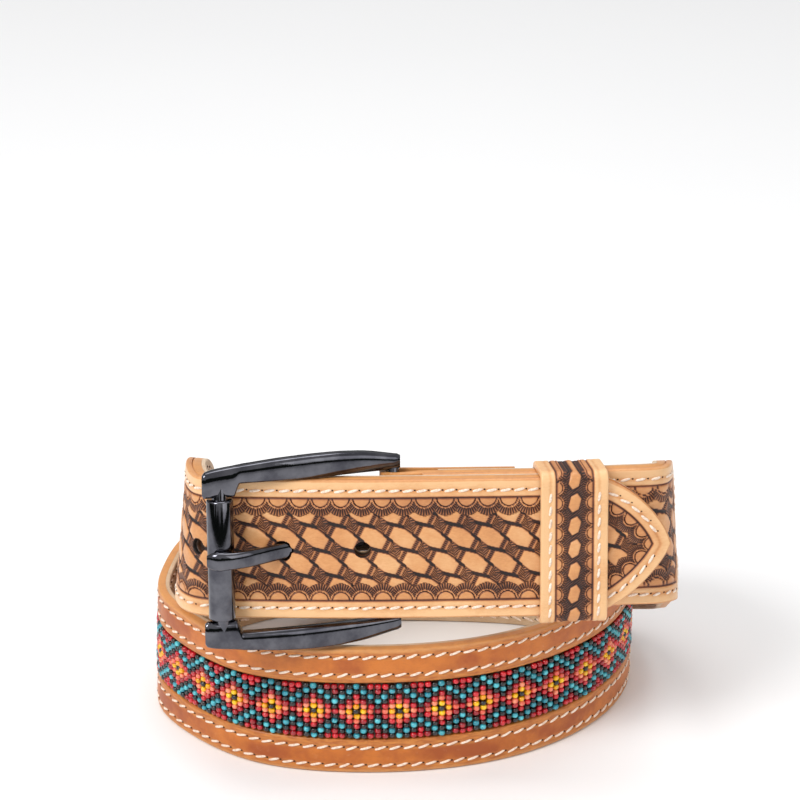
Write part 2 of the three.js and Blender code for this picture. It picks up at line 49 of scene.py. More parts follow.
# Strap and its layers
STRAP_WIDTH = 44.45
HALF_STRAP = STRAP_WIDTH / 2
BODY_THICKNESS = 2.5
LINING_OUTER = -2.55
LINING_INNER = -4.0
OVERLAY_BOTTOM = 0.5
OVERLAY_TOP = 2.4
LAP_DEPTH = 6.9
TONGUE_LENGTH = 82
BILLET_OVERLAY_LENGTH = 297
BUCKLE_OVERLAY_LENGTH = 180
BUCKLE_OVERLAY_START = 9
TIP_LENGTH = 26
TIP_FLAT = 1.6
TIP_TO_FIRST_HOLE = 96
HOLE_PITCH = 25.4
HOLE_COUNT = 5
FASTENED_HOLE = 1
HOLE_RADIUS = 2.5
BEAD_HALF = 9.8
BEAD_CLEARANCE = 0.3
BEAD_UNDER_OVERLAY = 50
CHANNEL_DEPTH = 1.3
LINING_START = 14

# Fold round the heel bar
FOLD_THICKNESS = 1.9
FOLD_TAIL = 38
FOLD_EASE = 14
FOLD_FORWARD = 1.9
FOLD_INNER = 2.4

# Keeper
KEEPER_WIDTH = 21
KEEPER_WALL = 1.8
KEEPER_FROM_HEEL = 45
KEEPER_CLEARANCE = 0.5
KEEPER_CORNER = 3.4

# Buckle
FRAME_LENGTH = 60.5
FRAME_HEIGHT = 62.6
WINDOW_HEIGHT = 47.5
ARM_THICKNESS = 5
FRAME_ARCH = 1.5
FRAME_DROP = 1
HEEL_BAR_RADIUS = 2
FRONT_BAR_RADIUS = 2.5
HEEL_BAR_INSET = 2.3
BAR_SPACING = 53
ROLLER_RADIUS = 4.15
ROLLER_LENGTH = 38.4
PRONG_WIDTH = 6
PRONG_THICKNESS = 3.2
PRONG_HOLE_FROM_HEEL = 35
HEEL_OUT = -9.3
ROLLER_OUT = 6.95
PRONG_RISE = ROLLER_OUT + ROLLER_RADIUS + 0.3 + PRONG_THICKNESS / 2 - HEEL_OUT
HEEL_ACROSS = -2

# Route of the strap's centre line. Columns: across and depth as shares of COIL_REACH, height as a share of
# STRAP_WIDTH, lean in degrees.
COIL_REACH = 90
LAP_ROUTE = np.array([
    [-0.278, -0.232, 1.755, 10], [0, -0.23, 1.755, 10], [0.278, -0.222, 1.755, 10],
    [0.589, -0.198, 1.745, 10], [0.8, -0.168, 1.735, 9],
])
COIL_ROUTE = np.array([
    [0.895, -0.05, 1.68, 8], [0.947, 0.08, 1.58, 6], [0.968, 0.27, 1.35, 4], [0.975, 0.42, 1.17, 2],
    [0.965, 0.57, 0.99, 1], [0.91, 0.73, 0.81, 0], [0.79, 0.86, 0.66, 0], [0.58, 0.95, 0.56, 0],
    [0.3, 0.99, 0.51, 0], [0, 1.0, 0.5, 0], [-0.32, 0.97, 0.5, 0], [-0.57, 0.88, 0.5, 0],
    [-0.74, 0.735, 0.5, 1], [-0.835, 0.565, 0.5, 2], [-0.88, 0.378, 0.5, 3], [-0.873, 0.172, 0.5, 1],
    [-0.828, 0.075, 0.5, 0], [-0.75, -0.03, 0.5, -1], [-0.644, -0.137, 0.5, -2], [-0.511, -0.22, 0.5, -2],
    [-0.333, -0.267, 0.5, -1], [-0.089, -0.28, 0.5, 0], [0.142, -0.256, 0.5, 0], [0.356, -0.192, 0.5, 0],
    [0.539, -0.087, 0.5, 0], [0.672, 0.033, 0.5, 0], [0.767, 0.161, 0.5, 0], [0.834, 0.314, 0.5, 0],
    [0.86, 0.45, 0.5, 0], [0.845, 0.58, 0.5, 0], [0.78, 0.7, 0.5, 0], [0.66, 0.795, 0.5, 0],
    [0.48, 0.86, 0.5, 0], [0.25, 0.89, 0.5, 0], [0, 0.895, 0.51, 0], [-0.25, 0.86, 0.56, 0],
    [-0.46, 0.765, 0.68, 0], [-0.62, 0.62, 0.85, 0], [-0.715, 0.445, 1.06, 1], [-0.738, 0.265, 1.35, 3],
    [-0.747, 0.1, 1.585, 5], [-0.738, -0.05, 1.67, 7], [-0.69, -0.165, 1.715, 9], [-0.565, -0.22, 1.75, 10],
])
TIP_ROUTE = np.array([[1.02, -0.125, 1.7, 7]])

# Outline of an overlay's tongue. Columns: distance from its point as a share of TONGUE_LENGTH, half width as a
# share of half the strap.
TONGUE_OUTLINE = np.array([
    [0, 0.04], [0.06, 0.2], [0.11, 0.51], [0.2, 0.36], [0.33, 0.3], [0.44, 0.36],
    [0.55, 0.56], [0.63, 0.48], [0.74, 0.455], [0.84, 0.56], [0.92, 0.78], [1, 1],
])

# Side arm of the frame. Columns: distance from the heel end as a share of FRAME_LENGTH, inner edge as a share of
# half WINDOW_HEIGHT, outer edge as a share of half FRAME_HEIGHT, share of ARM_THICKNESS.
ARM_SECTIONS = np.array([
    [0, 1, 0.9, 0.75], [0.07, 1, 0.93, 0.9], [0.18, 1, 0.975, 1], [0.32, 1, 0.998, 1], [0.46, 1, 1, 1],
    [0.62, 1, 0.985, 1], [0.74, 1, 0.962, 1], [0.815, 1, 0.945, 1], [0.84, 0.83, 0.94, 1],
    [0.96, 0.83, 0.91, 1], [1, 0.86, 0.88, 0.8],
])

# Prong. Columns: distance from the heel bar as a share of BAR_SPACING, share of PRONG_RISE, share of
# PRONG_WIDTH, share of PRONG_THICKNESS.
PRONG_SECTIONS = np.array([
    [0.04, 0.03, 1, 1], [0.2, 0.115, 1, 1], [0.37, 0.2, 0.98, 0.95], [0.5, 0.3, 0.93, 0.95],
    [0.6, 0.44, 0.88, 1], [0.72, 0.665, 0.86, 1], [0.85, 0.89, 0.9, 1], [0.96, 0.99, 0.94, 1],
    [1.04, 1.0, 0.9, 0.9], [1.075, 0.985, 0.6, 0.5],
])


# Route mathematics

def sized(rows):
    return rows * np.array([COIL_REACH, COIL_REACH, STRAP_WIDTH, 1])


def sunk_lap():
    """The buckle end follows the lap one stack of leather further in."""
    rows = sized(LAP_ROUTE)
    after = rows[np.minimum(np.arange(len(rows)) + 1, len(rows) - 1), :2]
    before = rows[np.maximum(np.arange(len(rows)) - 1, 0), :2]
    heading = (after - before) / np.linalg.norm(after - before, axis=1, keepdims=True)
    lean = np.radians(rows[:, 3])
    out = np.stack([heading[:, 1] * np.cos(lean), -heading[:, 0] * np.cos(lean), np.sin(lean)], axis=1)
    sunk = rows.copy()
    sunk[:, :3] -= out * LAP_DEPTH
    return sunk


route_rows = np.concatenate([sunk_lap(), sized(COIL_ROUTE), sized(LAP_ROUTE), sized(TIP_ROUTE)])
route_knots = np.concatenate([[0], np.cumsum(np.linalg.norm(np.diff(route_rows[:, :3], axis=0), axis=1))])


def natural_bends(knots, values):
    """Second derivatives of a natural cubic through each column of values."""
    count = len(knots)
    steps = np.diff(knots)
    matrix = np.eye(count)
    right = np.zeros_like(values)
    for i in range(1, count - 1):
        matrix[i, i - 1:i + 2] = [steps[i - 1], 2 * (steps[i - 1] + steps[i]), steps[i]]
        slopes = (values[i + 1] - values[i]) / steps[i] - (values[i] - values[i - 1]) / steps[i - 1]
        right[i] = 6 * slopes
    return np.linalg.solve(matrix, right)


route_bends = natural_bends(route_knots, route_rows)


def route_at(knot):
    i = np.clip(np.searchsorted(route_knots, knot) - 1, 0, len(route_knots) - 2)
    span = (route_knots[i + 1] - route_knots[i])[:, None]
    a = (route_knots[i + 1] - knot)[:, None] / span
    b = 1 - a
    curve = ((a ** 3 - a) * route_bends[i] + (b ** 3 - b) * route_bends[i + 1]) * span ** 2 / 6
    return a * route_rows[i] + b * route_rows[i + 1] + curve


CLOSE_STEP = 0.5
close_knots = np.arange(0, route_knots[-1], CLOSE_STEP)
close_points = route_at(close_knots)[:, :3]
close_lengths = np.concatenate([[0], np.cumsum(np.linalg.norm(np.diff(close_points, axis=0), axis=1))])


class Strap:
    """The strap's centre, heading, outward and upward directions at each of the given lengths."""

    def __init__(self, lengths):
        lengths = np.atleast_1d(np.asarray(lengths, dtype=float))
        knot = np.interp(lengths, close_lengths, close_knots)
        row = route_at(knot)
        heading = route_at(knot + CLOSE_STEP)[:, :3] - route_at(knot - CLOSE_STEP)[:, :3]
        heading /= np.linalg.norm(heading, axis=1, keepdims=True)
        upright = np.array([0, 0, 1]) - heading * heading[:, 2:3]
        upright /= np.linalg.norm(upright, axis=1, keepdims=True)
        facing = np.cross(heading, upright)
        lean = np.radians(row[:, 3:4])
        self.centre = row[:, :3]
        self.heading = heading
        self.rise = upright * np.cos(lean) - facing * np.sin(lean)
        self.out = facing * np.cos(lean) + upright * np.sin(lean)

    def place(self, across, outward, along=0.0):
        """Points of a grid with one row for each length."""
        rows = len(self.centre)
        across = np.asarray(across, dtype=float).reshape(rows, -1)
        outward = np.asarray(outward, dtype=float).reshape(rows, -1)
        along = np.broadcast_to(np.asarray(along, dtype=float), across.shape)
        return (
            self.centre[:, None]
            + self.rise[:, None] * across[..., None]
            + self.out[:, None] * outward[..., None]
            + self.heading[:, None] * along[..., None]
        )


def length_at_across(across, first, last):
    inside = (close_knots >= first) & (close_knots <= last)
    return float(np.interp(across, close_points[inside, 0], close_lengths[inside]))


lap_first_knot = route_knots[len(LAP_ROUTE) + len(COIL_ROUTE) - 2]
heel_length = length_at_across(HEEL_ACROSS, 0, 60)
heel_on_billet = length_at_across(HEEL_ACROSS, lap_first_knot, route_knots[-1])
fastened_length = heel_on_billet - PRONG_HOLE_FROM_HEEL
tip_length = fastened_length + TIP_TO_FIRST_HOLE + FASTENED_HOLE * HOLE_PITCH
bead_start = heel_length + BUCKLE_OVERLAY_LENGTH - BEAD_UNDER_OVERLAY
bead_end = tip_length - BILLET_OVERLAY_LENGTH + BEAD_UNDER_OVERLAY
lap = Strap([heel_on_billet])


def lap_place(across, outward, along):
    """Points in the plane of the lap at the heel bar, for arrays of any one shape."""
    across, outward, along = np.broadcast_arrays(across, outward, along)
    return (
        lap.centre[0]
        + lap.rise[0] * across[..., None]
        + lap.out[0] * outward[..., None]
        + lap.heading[0] * along[..., None]
    )


roller_low, roller_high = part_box("buckle_roller")
roller_middle = (np.array(roller_low) + np.array(roller_high)) * 500
SHIFT = roller_middle - lap_place(np.array(-FRAME_DROP), np.array(ROLLER_OUT), np.array(-BAR_SPACING))


def smooth_step(low, high, x):
    t = np.clip((x - low) / (high - low), 0, 1)
    return t * t * (3 - 2 * t)


# Mesh making

def make_piece(name, points, faces, material, slot, stands_for=(), uv=None, values=None, sharp=42):
    """A shown piece from points in millimetres and a list of face arrays."""
    points = np.asarray(points, dtype=float).reshape(-1, 3)
    corners = np.concatenate([np.asarray(f).ravel() for f in faces]).astype(np.int32)
    totals = np.concatenate([np.full(len(f), np.asarray(f).shape[1]) for f in faces])
    starts = np.concatenate([[0], np.cumsum(totals)[:-1]]).astype(np.int32)
    mesh = bpy.data.meshes.new(name)
    mesh.vertices.add(len(points))
    mesh.vertices.foreach_set("co", ((points + SHIFT) / 1000).ravel())
    mesh.loops.add(len(corners))
    mesh.loops.foreach_set("vertex_index", corners)
    mesh.polygons.add(len(totals))
    mesh.polygons.foreach_set("loop_start", starts)
    mesh.update(calc_edges=True)
    if uv is not None:
        layer = mesh.uv_layers.new(name="strap")
        layer.data.foreach_set("uv", np.asarray(uv, dtype=float).reshape(-1, 2)[corners].ravel())
    if values is not None:
        attribute = mesh.attributes.new("tooling", "FLOAT_VECTOR", "POINT")
        attribute.data.foreach_set("vector", np.asarray(values, dtype=float).ravel())
    mesh.validate()
    mesh.shade_smooth()
    mesh.set_sharp_from_angle(angle=math.radians(sharp))
    mesh.materials.append(material)
    piece = bpy.data.objects.new(name, mesh)
    bpy.context.scene.collection.objects.link(piece)
    if slot:
        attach(piece, "root")
    if stands_for:
        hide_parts(*stands_for)
    return piece


def loft_faces(rows, columns, closed_rows=False):
    """Quads over rows of closed rings."""
    i = np.arange(rows if closed_rows else rows - 1)[:, None]
    j = np.arange(columns)[None, :]
    i, j = np.broadcast_arrays(i, j)
    a = i * columns + j
    b = i * columns + (j + 1) % columns
    c = ((i + 1) % rows) * columns + (j + 1) % columns
    d = ((i + 1) % rows) * columns + j
    return np.stack([a, b, c, d], axis=-1).reshape(-1, 4)


def capped_loft(rings):
    """Points and faces, all facing outward, of a closed skin over rings of points."""
    rings = np.asarray(rings, dtype=float)
    rows, columns = rings.shape[:2]
    quads = loft_faces(rows, columns)
    first = np.arange(columns)[::-1][None]
    last = (np.arange(columns) + (rows - 1) * columns)[None]
    points = rings.reshape(-1, 3)
    middle = points.mean(axis=0)
    p = points[quads] - middle
    volume = np.einsum("ij,ij->i", p[:, 0], np.cross(p[:, 1], p[:, 2])).sum()
    volume += np.einsum("ij,ij->i", p[:, 0], np.cross(p[:, 2], p[:, 3])).sum()
    faces = [quads, first, last]
    if volume < 0:
        faces = [f[:, ::-1] for f in faces]
    return points, faces


def stacked(parts):
    """Points and faces of several shells as one mesh."""
    points = []
    faces = []
    offset = 0
    for part_points, part_faces in parts:
        points.append(part_points)
        faces.extend(f + offset for f in part_faces)
        offset += len(part_points)
    return np.concatenate(points), faces


def squircle(half_width, half_thickness, count, power):
    """Rings of rounded rectangles, one for each pair of half sizes."""
    angle = np.linspace(0, 2 * np.pi, count, endpoint=False) + np.pi / count
    c, s = np.cos(angle), np.sin(angle)
    x = np.sign(c) * np.abs(c) ** (2 / power)
    y = np.sign(s) * np.abs(s) ** (2 / power)
    return np.asarray(half_width)[:, None] * x, np.asarray(half_thickness)[:, None] * y


def tube(middle, radius, half_length, sides=48, rim=0.5):
    """Rounded cylinder along the lap's upward direction, middle given as across, outward and along."""
    across = np.array([-half_length, -half_length + rim * 0.3, -half_length + rim, half_length - rim,
                       half_length - rim * 0.3, half_length])
    radii = np.array([radius - rim, radius - rim * 0.3, radius, radius, radius - rim * 0.3, radius - rim])
    angle = np.linspace(0, 2 * np.pi, sides, endpoint=False)
    outward = middle[1] + radii[:, None] * np.cos(angle)
    along = middle[2] + radii[:, None] * np.sin(angle)
    return capped_loft(lap_place(middle[0] + across[:, None], outward, along))


# Materials

def srgb(*channels):
    return tuple(((c / 255 + 0.055) / 1.055) ** 2.4 if c > 10 else c / 255 / 12.92 for c in channels) + (1.0,)


class Nodes:
    """Short calls for one node tree."""

    def __init__(self, tree):
        self.tree = tree

    def add(self, kind, inputs=None, **settings):
        made = self.tree.nodes.new(kind)
        for key, value in settings.items():
            setattr(made, key, value)
        for key, value in (inputs or {}).items():
            self.put(value, made.inputs[key])
        return made

    def put(self, value, socket):
        if isinstance(value, bpy.types.NodeSocket):
            self.tree.links.new(value, socket)
        else:
            socket.default_value = value

    def math(self, operation, a, b=0.0, c=0.0, clamp=False):
        return self.add("ShaderNodeMath", {0: a, 1: b, 2: c}, operation=operation, use_clamp=clamp).outputs[0]

    def step(self, value, low, high, to_low=0.0, to_high=1.0):
        made = self.add(
            "ShaderNodeMapRange",
            {"Value": value, "From Min": low, "From Max": high, "To Min": to_low, "To Max": to_high},
            interpolation_type="SMOOTHSTEP",
        )
        return made.outputs["Result"]

    def mix(self, factor, a, b, blend="MIX"):
        made = self.add("ShaderNodeMix", data_type="RGBA", blend_type=blend)
        self.put(factor, made.inputs[0])
        self.put(a, made.inputs[6])
        self.put(b, made.inputs[7])
        return made.outputs[2]

    def noise(self, place, scale, detail=3.0, roughness=0.55):
        made = self.add("ShaderNodeTexNoise", {"Scale": scale, "Detail": detail, "Roughness": roughness})
        self.put(place, made.inputs["Vector"])
        return made.outputs["Fac"]

    def ramp(self, value, stops):
        made = self.add("ShaderNodeValToRGB", {"Fac": value})
        ramp = made.color_ramp
        ramp.elements[0].position, ramp.elements[0].color = stops[0]
        ramp.elements[1].position, ramp.elements[1].color = stops[-1]
        for at, color in stops[1:-1]:
            ramp.elements.new(at).color = color
        return made.outputs["Color"]

    def bump(self, height, distance, strength=1.0, normal=None):
        made = self.add("ShaderNodeBump", {"Height": height, "Distance": distance, "Strength": strength})
        if normal is not None:
            self.put(normal, made.inputs["Normal"])
        return made.outputs["Normal"]


def new_group(name, outputs, inputs=()):
    group = bpy.data.node_groups.new(name, "ShaderNodeTree")
    for label, kind in outputs:
        group.interface.new_socket(label, in_out="OUTPUT", socket_type=kind)
    for label, kind in inputs:
        group.interface.new_socket(label, in_out="INPUT", socket_type=kind)
    return group, Nodes(group)


def new_material(name):
    material = bpy.data.materials.new(name)
    material.use_nodes = True
    material.node_tree.nodes.clear()
    nodes = Nodes(material.node_tree)
    out = nodes.add("ShaderNodeOutputMaterial")
    bsdf = nodes.add("ShaderNodeBsdfPrincipled")
    nodes.put(bsdf.outputs[0], out.inputs[0])
    return material, nodes, bsdf


def grain_group():
    """Leather grain: pores and pebbles, slow clouds of colour, and fine scratches and fibres."""
    group, n = new_group(
        "leather_grain",
        [("Pores", "NodeSocketFloat"), ("Clouds", "NodeSocketFloat"), ("Fibres", "NodeSocketFloat")],
    )
    place = n.add("ShaderNodeTexCoord").outputs["Object"]
    warp = n.noise(place, 900, 2)
    cells = n.add("ShaderNodeTexVoronoi", {"Scale": 1700.0, "Randomness": 1.0}, feature="SMOOTH_F1")
    n.put(place, cells.inputs["Vector"])
    pores = n.math("ADD", n.math("MULTIPLY", cells.outputs["Distance"], 0.7), n.math("MULTIPLY", warp, 0.5))
    clouds = n.noise(place, 55, 4, 0.6)
    stretched = n.add("ShaderNodeMapping", {"Scale": (1.0, 1.0, 3.0)})
    n.put(place, stretched.inputs["Vector"])
    fibres = n.noise(stretched.outputs[0], 700, 5, 0.7)
    out = n.add("NodeGroupOutput")
    n.put(pores, out.inputs["Pores"])
    n.put(clouds, out.inputs["Clouds"])
    n.put(fibres, out.inputs["Fibres"])
    return group


leather_grain = grain_group()


def strap_place(nodes):
    """Place along and across the strap in millimetres."""
    uv = nodes.add("ShaderNodeUVMap", uv_map="strap").outputs[0]
    split = nodes.add("ShaderNodeSeparateXYZ", {0: uv})
    return split.outputs[0], split.outputs[1]


def saddle_leather():
    material, n, bsdf = new_material("saddle_leather")
    grain = n.add("ShaderNodeGroup", node_tree=leather_grain)
    along, across = strap_place(n)
    wobble = n.math("MULTIPLY", n.math("SUBTRACT", grain.outputs["Clouds"], 0.5), 0.9)
    edge = n.math("ADD", n.math("SUBTRACT", HALF_STRAP, n.math("ABSOLUTE", across)), wobble)
    band = n.math("MULTIPLY", n.step(edge, 3.0, 4.1), n.step(edge, 8.9, 7.9))
    streak = n.noise(n.add("ShaderNodeCombineXYZ", {0: along, 1: n.math("MULTIPLY", across, 5.0)}).outputs[0], 0.22, 4)
    tan = n.mix(n.step(streak, 0.35, 0.7), srgb(207, 129, 54), srgb(174, 94, 34))
    orange = n.mix(n.step(grain.outputs["Clouds"], 0.38, 0.66), srgb(206, 116, 32), srgb(166, 78, 16))
    colour = n.mix(band, tan, orange)
    rim = n.step(edge, 1.7, 0.4)
    colour = n.mix(n.math("MULTIPLY", rim, 0.6), colour, srgb(222, 164, 104))
    colour = n.mix(n.math("MULTIPLY", n.step(grain.outputs["Fibres"], 0.5, 0.75), 0.25), colour, srgb(140, 74, 30))
    worn = n.step(n.noise(n.add("ShaderNodeTexCoord").outputs["Object"], 260, 5, 0.7), 0.6, 0.75)
    colour = n.mix(n.math("MULTIPLY", worn, 0.16), colour, srgb(238, 190, 138))
    # Painted shade: the floor of the bead channel, where shade falls between the beads, and the walls of the holes are
    # painted dark brown. The mask reads only the distance from the strap's middle, so the dark field also runs down the
    # folded tail, where there is no channel and no beads.
    channel = n.step(n.math("ABSOLUTE", across), 10.3, 9.9)
    colour = n.mix(n.math("MULTIPLY", channel, 0.9), colour, srgb(48, 24, 12))
    n.put(colour, bsdf.inputs["Base Color"])
    n.put(n.step(grain.outputs["Clouds"], 0.2, 0.8, 0.36, 0.52), bsdf.inputs["Roughness"])
    bsdf.inputs["Coat Weight"].default_value = 0.12
    bsdf.inputs["Coat Roughness"].default_value = 0.35
    height = n.math("ADD", grain.outputs["Pores"], n.math("MULTIPLY", grain.outputs["Fibres"], 0.5))
    n.put(n.bump(height, 0.00012, 0.5), bsdf.inputs["Normal"])
    return material


def tooled_leather():
    material, n, bsdf = new_material("tooled_leather")
    grain = n.add("ShaderNodeGroup", node_tree=leather_grain)
    tooling = n.add("ShaderNodeAttribute", attribute_name="tooling", attribute_type="GEOMETRY")
    split = n.add("ShaderNodeSeparateXYZ", {0: tooling.outputs["Vector"]})
    tone, mask, phase = split.outputs[0], split.outputs[1], split.outputs[2]
    wave = n.math("SINE", n.math("MULTIPLY", phase, 2 * math.pi))
    lines = n.math("MULTIPLY", mask, wave)
    shade = n.math("MULTIPLY", n.math("SUBTRACT", grain.outputs["Clouds"], 0.5), 0.46)
    specks = n.math("MULTIPLY", n.math("SUBTRACT", grain.outputs["Fibres"], 0.5), 0.22)
    tone_now = n.math("ADD", tone, n.math("ADD", n.math("MULTIPLY", lines, 0.26), n.math("ADD", shade, specks)))
    colour = n.ramp(tone_now, [
        (0.0, srgb(26, 10, 6)), (0.22, srgb(68, 33, 20)), (0.42, srgb(122, 68, 40)),
        (0.62, srgb(180, 114, 68)), (0.8, srgb(216, 152, 96)), (1.0, srgb(238, 190, 138)),
    ])
    n.put(colour, bsdf.inputs["Base Color"])
    n.put(n.step(tone_now, 0.1, 0.9, 0.62, 0.4), bsdf.inputs["Roughness"])
    bsdf.inputs["Coat Weight"].default_value = 0.1
    bsdf.inputs["Coat Roughness"].default_value = 0.4
    height = n.math("ADD", n.math("MULTIPLY", grain.outputs["Pores"], 0.35), n.math("MULTIPLY", lines, 0.9))
    n.put(n.bump(height, 0.00022, 0.75), bsdf.inputs["Normal"])
    return material


def lining_leather():
    material, n, bsdf = new_material("lining_leather")
    grain = n.add("ShaderNodeGroup", node_tree=leather_grain)
    colour = n.mix(n.step(grain.outputs["Clouds"], 0.3, 0.7), srgb(222, 194, 160), srgb(203, 170, 132))
    colour = n.mix(n.math("MULTIPLY", n.step(grain.outputs["Fibres"], 0.45, 0.7), 0.35), colour, srgb(176, 138, 100))
    n.put(colour, bsdf.inputs["Base Color"])
    bsdf.inputs["Roughness"].default_value = 0.78
    bsdf.inputs["Sheen Weight"].default_value = 0.25
    bsdf.inputs["Sheen Roughness"].default_value = 0.6
    height = n.math("ADD", grain.outputs["Fibres"], n.math("MULTIPLY", grain.outputs["Pores"], 0.6))
    n.put(n.bump(height, 0.0002, 0.7), bsdf.inputs["Normal"])
    return material


def thread():
    material, n, bsdf = new_material("cream_thread")
    place = n.add("ShaderNodeTexCoord").outputs["Object"]
    plies = n.noise(place, 1500, 3)
    n.put(n.mix(n.step(plies, 0.35, 0.7), srgb(255, 238, 220), srgb(230, 200, 176)), bsdf.inputs["Base Color"])
    bsdf.inputs["Roughness"].default_value = 0.55
    bsdf.inputs["Sheen Weight"].default_value = 0.3
    n.put(n.bump(plies, 0.0002, 0.7), bsdf.inputs["Normal"])
    return material


# Painted shade: dark brown for the small blobs at each stitch's ends, which stand in for the shade inside the needle
# holes, since no hole is cut there. The hole cutter also carries it.
def needle_hole_shade():
    material, n, bsdf = new_material("needle_hole_shade")
    place = n.add("ShaderNodeTexCoord").outputs["Object"]
    n.put(n.mix(n.noise(place, 900), srgb(38, 16, 8), srgb(78, 38, 20)), bsdf.inputs["Base Color"])
    bsdf.inputs["Roughness"].default_value = 0.9
    return material


def bead_glass(name, light, dark, roughness=0.14):
    material, n, bsdf = new_material(name)
    place = n.add("ShaderNodeTexCoord").outputs["Object"]
    spread = n.noise(place, 340, 1)
    swirl = n.noise(place, 1400, 3)
    factor = n.math("ADD", n.step(spread, 0.35, 0.65, 0.0, 0.8), n.math("MULTIPLY", swirl, 0.3), clamp=True)
    n.put(n.mix(factor, light, dark), bsdf.inputs["Base Color"])
    n.put(n.step(swirl, 0.3, 0.8, roughness, roughness + 0.12), bsdf.inputs["Roughness"])
    bsdf.inputs["IOR"].default_value = 1.52
    bsdf.inputs["Coat Weight"].default_value = 0.6
    bsdf.inputs["Coat Roughness"].default_value = 0.06
    bsdf.inputs["Subsurface Weight"].default_value = 0.15
    bsdf.inputs["Subsurface Scale"].default_value = 0.0006
    n.put(n.bump(swirl, 0.00005, 0.4), bsdf.inputs["Normal"])
    return material


def dark_nickel():
    material, n, bsdf = new_material("dark_nickel")
    place = n.add("ShaderNodeTexCoord").outputs["Object"]
    haze = n.noise(place, 120, 5, 0.6)
    pits = n.noise(place, 900, 4, 0.7)
    n.put(n.mix(n.step(haze, 0.3, 0.7), srgb(104, 104, 110), srgb(72, 72, 79)), bsdf.inputs["Base Color"])
    bsdf.inputs["Metallic"].default_value = 1.0
    n.put(n.step(haze, 0.25, 0.75, 0.04, 0.11), bsdf.inputs["Roughness"])
    height = n.math("ADD", n.math("MULTIPLY", haze, 1.0), n.math("MULTIPLY", pits, 0.12))
    n.put(n.bump(height, 0.0002, 0.2), bsdf.inputs["Normal"])
    return material


saddle = saddle_leather()
tooled = tooled_leather()
lining_finish = lining_leather()
cream = thread()
hole_shade_finish = needle_hole_shade()
nickel = dark_nickel()
BEAD_FINISHES = {
    "T": ("turquoise", bead_glass("bead_turquoise", srgb(92, 206, 218), srgb(34, 140, 160))),
    "K": ("black", bead_glass("bead_black", srgb(14, 14, 17), srgb(4, 4, 6), 0.08)),
    "R": ("red", bead_glass("bead_red", srgb(222, 30, 46), srgb(148, 6, 24))),
    "P": ("peach", bead_glass("bead_peach", srgb(255, 160, 120), srgb(226, 84, 64))),
    "Y": ("yellow", bead_glass("bead_yellow", srgb(255, 210, 0), srgb(236, 156, 0))),
}


# Outlines of the layers in the plane of the strap

def tip_half_width(length):
    share = np.clip((tip_length - length) / TIP_LENGTH, 0, 1)
    rounded = (1 - (1 - share) ** 1.6) ** 0.72
    return np.maximum(HALF_STRAP * rounded, TIP_FLAT / 2)


tongue_shares = np.linspace(0, 1, 1641)
tongue_raw = np.interp(tongue_shares, TONGUE_OUTLINE[:, 0], TONGUE_OUTLINE[:, 1])
ease_kernel = np.hanning(121)
tongue_eased = np.convolve(np.pad(tongue_raw, 60, mode="edge"), ease_kernel / ease_kernel.sum(), mode="valid")
tongue_kept = smooth_step(0.12, 0.17, tongue_shares) * smooth_step(1.0, 0.95, tongue_shares)
tongue_shape = tongue_raw + (tongue_eased - tongue_raw) * tongue_kept


def tongue_half_width(share):
    return HALF_STRAP * np.interp(share, tongue_shares, tongue_shape)


billet_point = tip_length - BILLET_OVERLAY_LENGTH
buckle_point = heel_length + BUCKLE_OVERLAY_LENGTH


def billet_half_width(length):
    return np.minimum(tongue_half_width((length - billet_point) / TONGUE_LENGTH), tip_half_width(length))


def buckle_half_width(length):
    return tongue_half_width((buckle_point - length) / TONGUE_LENGTH)


def stations(start, end, step, tip=False):
    rows = np.arange(start, end, step)
    if tip:
        close = end - np.array([0.0, 0.06, 0.16, 0.32, 0.55, 0.85, 1.2, 1.6, 2.1])
        rows = np.concatenate([rows[rows < end - 2.3], close[::-1]])
    else:
        rows = np.concatenate([rows[rows < end - step * 0.3], [end]])
    return rows


class Outline:
    """Upper half of an overlay's outline, with the distance and the run along it for points inside."""

    def __init__(self, start, end, half_width_at):
        lengths = np.arange(start, end, 0.12)
        lengths = np.append(lengths, end)
        points = np.stack([lengths, half_width_at(lengths)], axis=1)
        first = np.stack([np.full(6, start), np.linspace(0, points[0, 1], 7)[:-1]], axis=1)
        last = np.stack([np.full(6, end), np.linspace(points[-1, 1], 0, 7)[1:]], axis=1)
        self.points = np.concatenate([first, points, last])
        self.run = np.concatenate([[0], np.cumsum(np.linalg.norm(np.diff(self.points, axis=0), axis=1))])

    def measure(self, lengths, across):
        """Distance to the outline and run along it, for a grid with one row for each length."""
        distance = np.zeros(across.shape)
        run = np.zeros(across.shape)
        for i, length in enumerate(lengths):
            low = max(np.searchsorted(self.points[:, 0], length - 24) - 8, 0)
            high = min(np.searchsorted(self.points[:, 0], length + 24) + 8, len(self.points))
            near = self.points[low:high]
            place = np.stack([np.full(across.shape[1], length), np.abs(across[i])], axis=1)
            gaps = ((place[:, None] - near[None]) ** 2).sum(axis=2)
            best = gaps.argmin(axis=1)
            best = np.clip(best, 1, len(near) - 2)
            tangent = near[best + 1] - near[best - 1]
            tangent /= np.maximum(np.linalg.norm(tangent, axis=1, keepdims=True), 1e-9)
            away = place - near[best]
            slide = (away * tangent).sum(axis=1)
            distance[i] = np.sqrt(np.maximum((away ** 2).sum(axis=1) - slide ** 2, 0))
            run[i] = self.run[low + best] + np.clip(slide, -0.3, 0.3)
        return distance, run

    def inset(self, depth):
        """Points of the line a given depth inside the outline."""
        tangent = np.gradient(self.points, axis=0)
        tangent /= np.maximum(np.linalg.norm(tangent, axis=1, keepdims=True), 1e-9)
        inward = np.stack([tangent[:, 1], -tangent[:, 0]], axis=1)
        moved = self.points + inward * depth
        kept = []
        for point in moved:
            gap = np.sqrt(((self.points - point) ** 2).sum(axis=1).min())
            kept.append(gap > depth - 0.06 and point[1] > 0.2)
        return moved[np.array(kept)]


# Tooling: basketweave, with scallops and sunbursts along the border

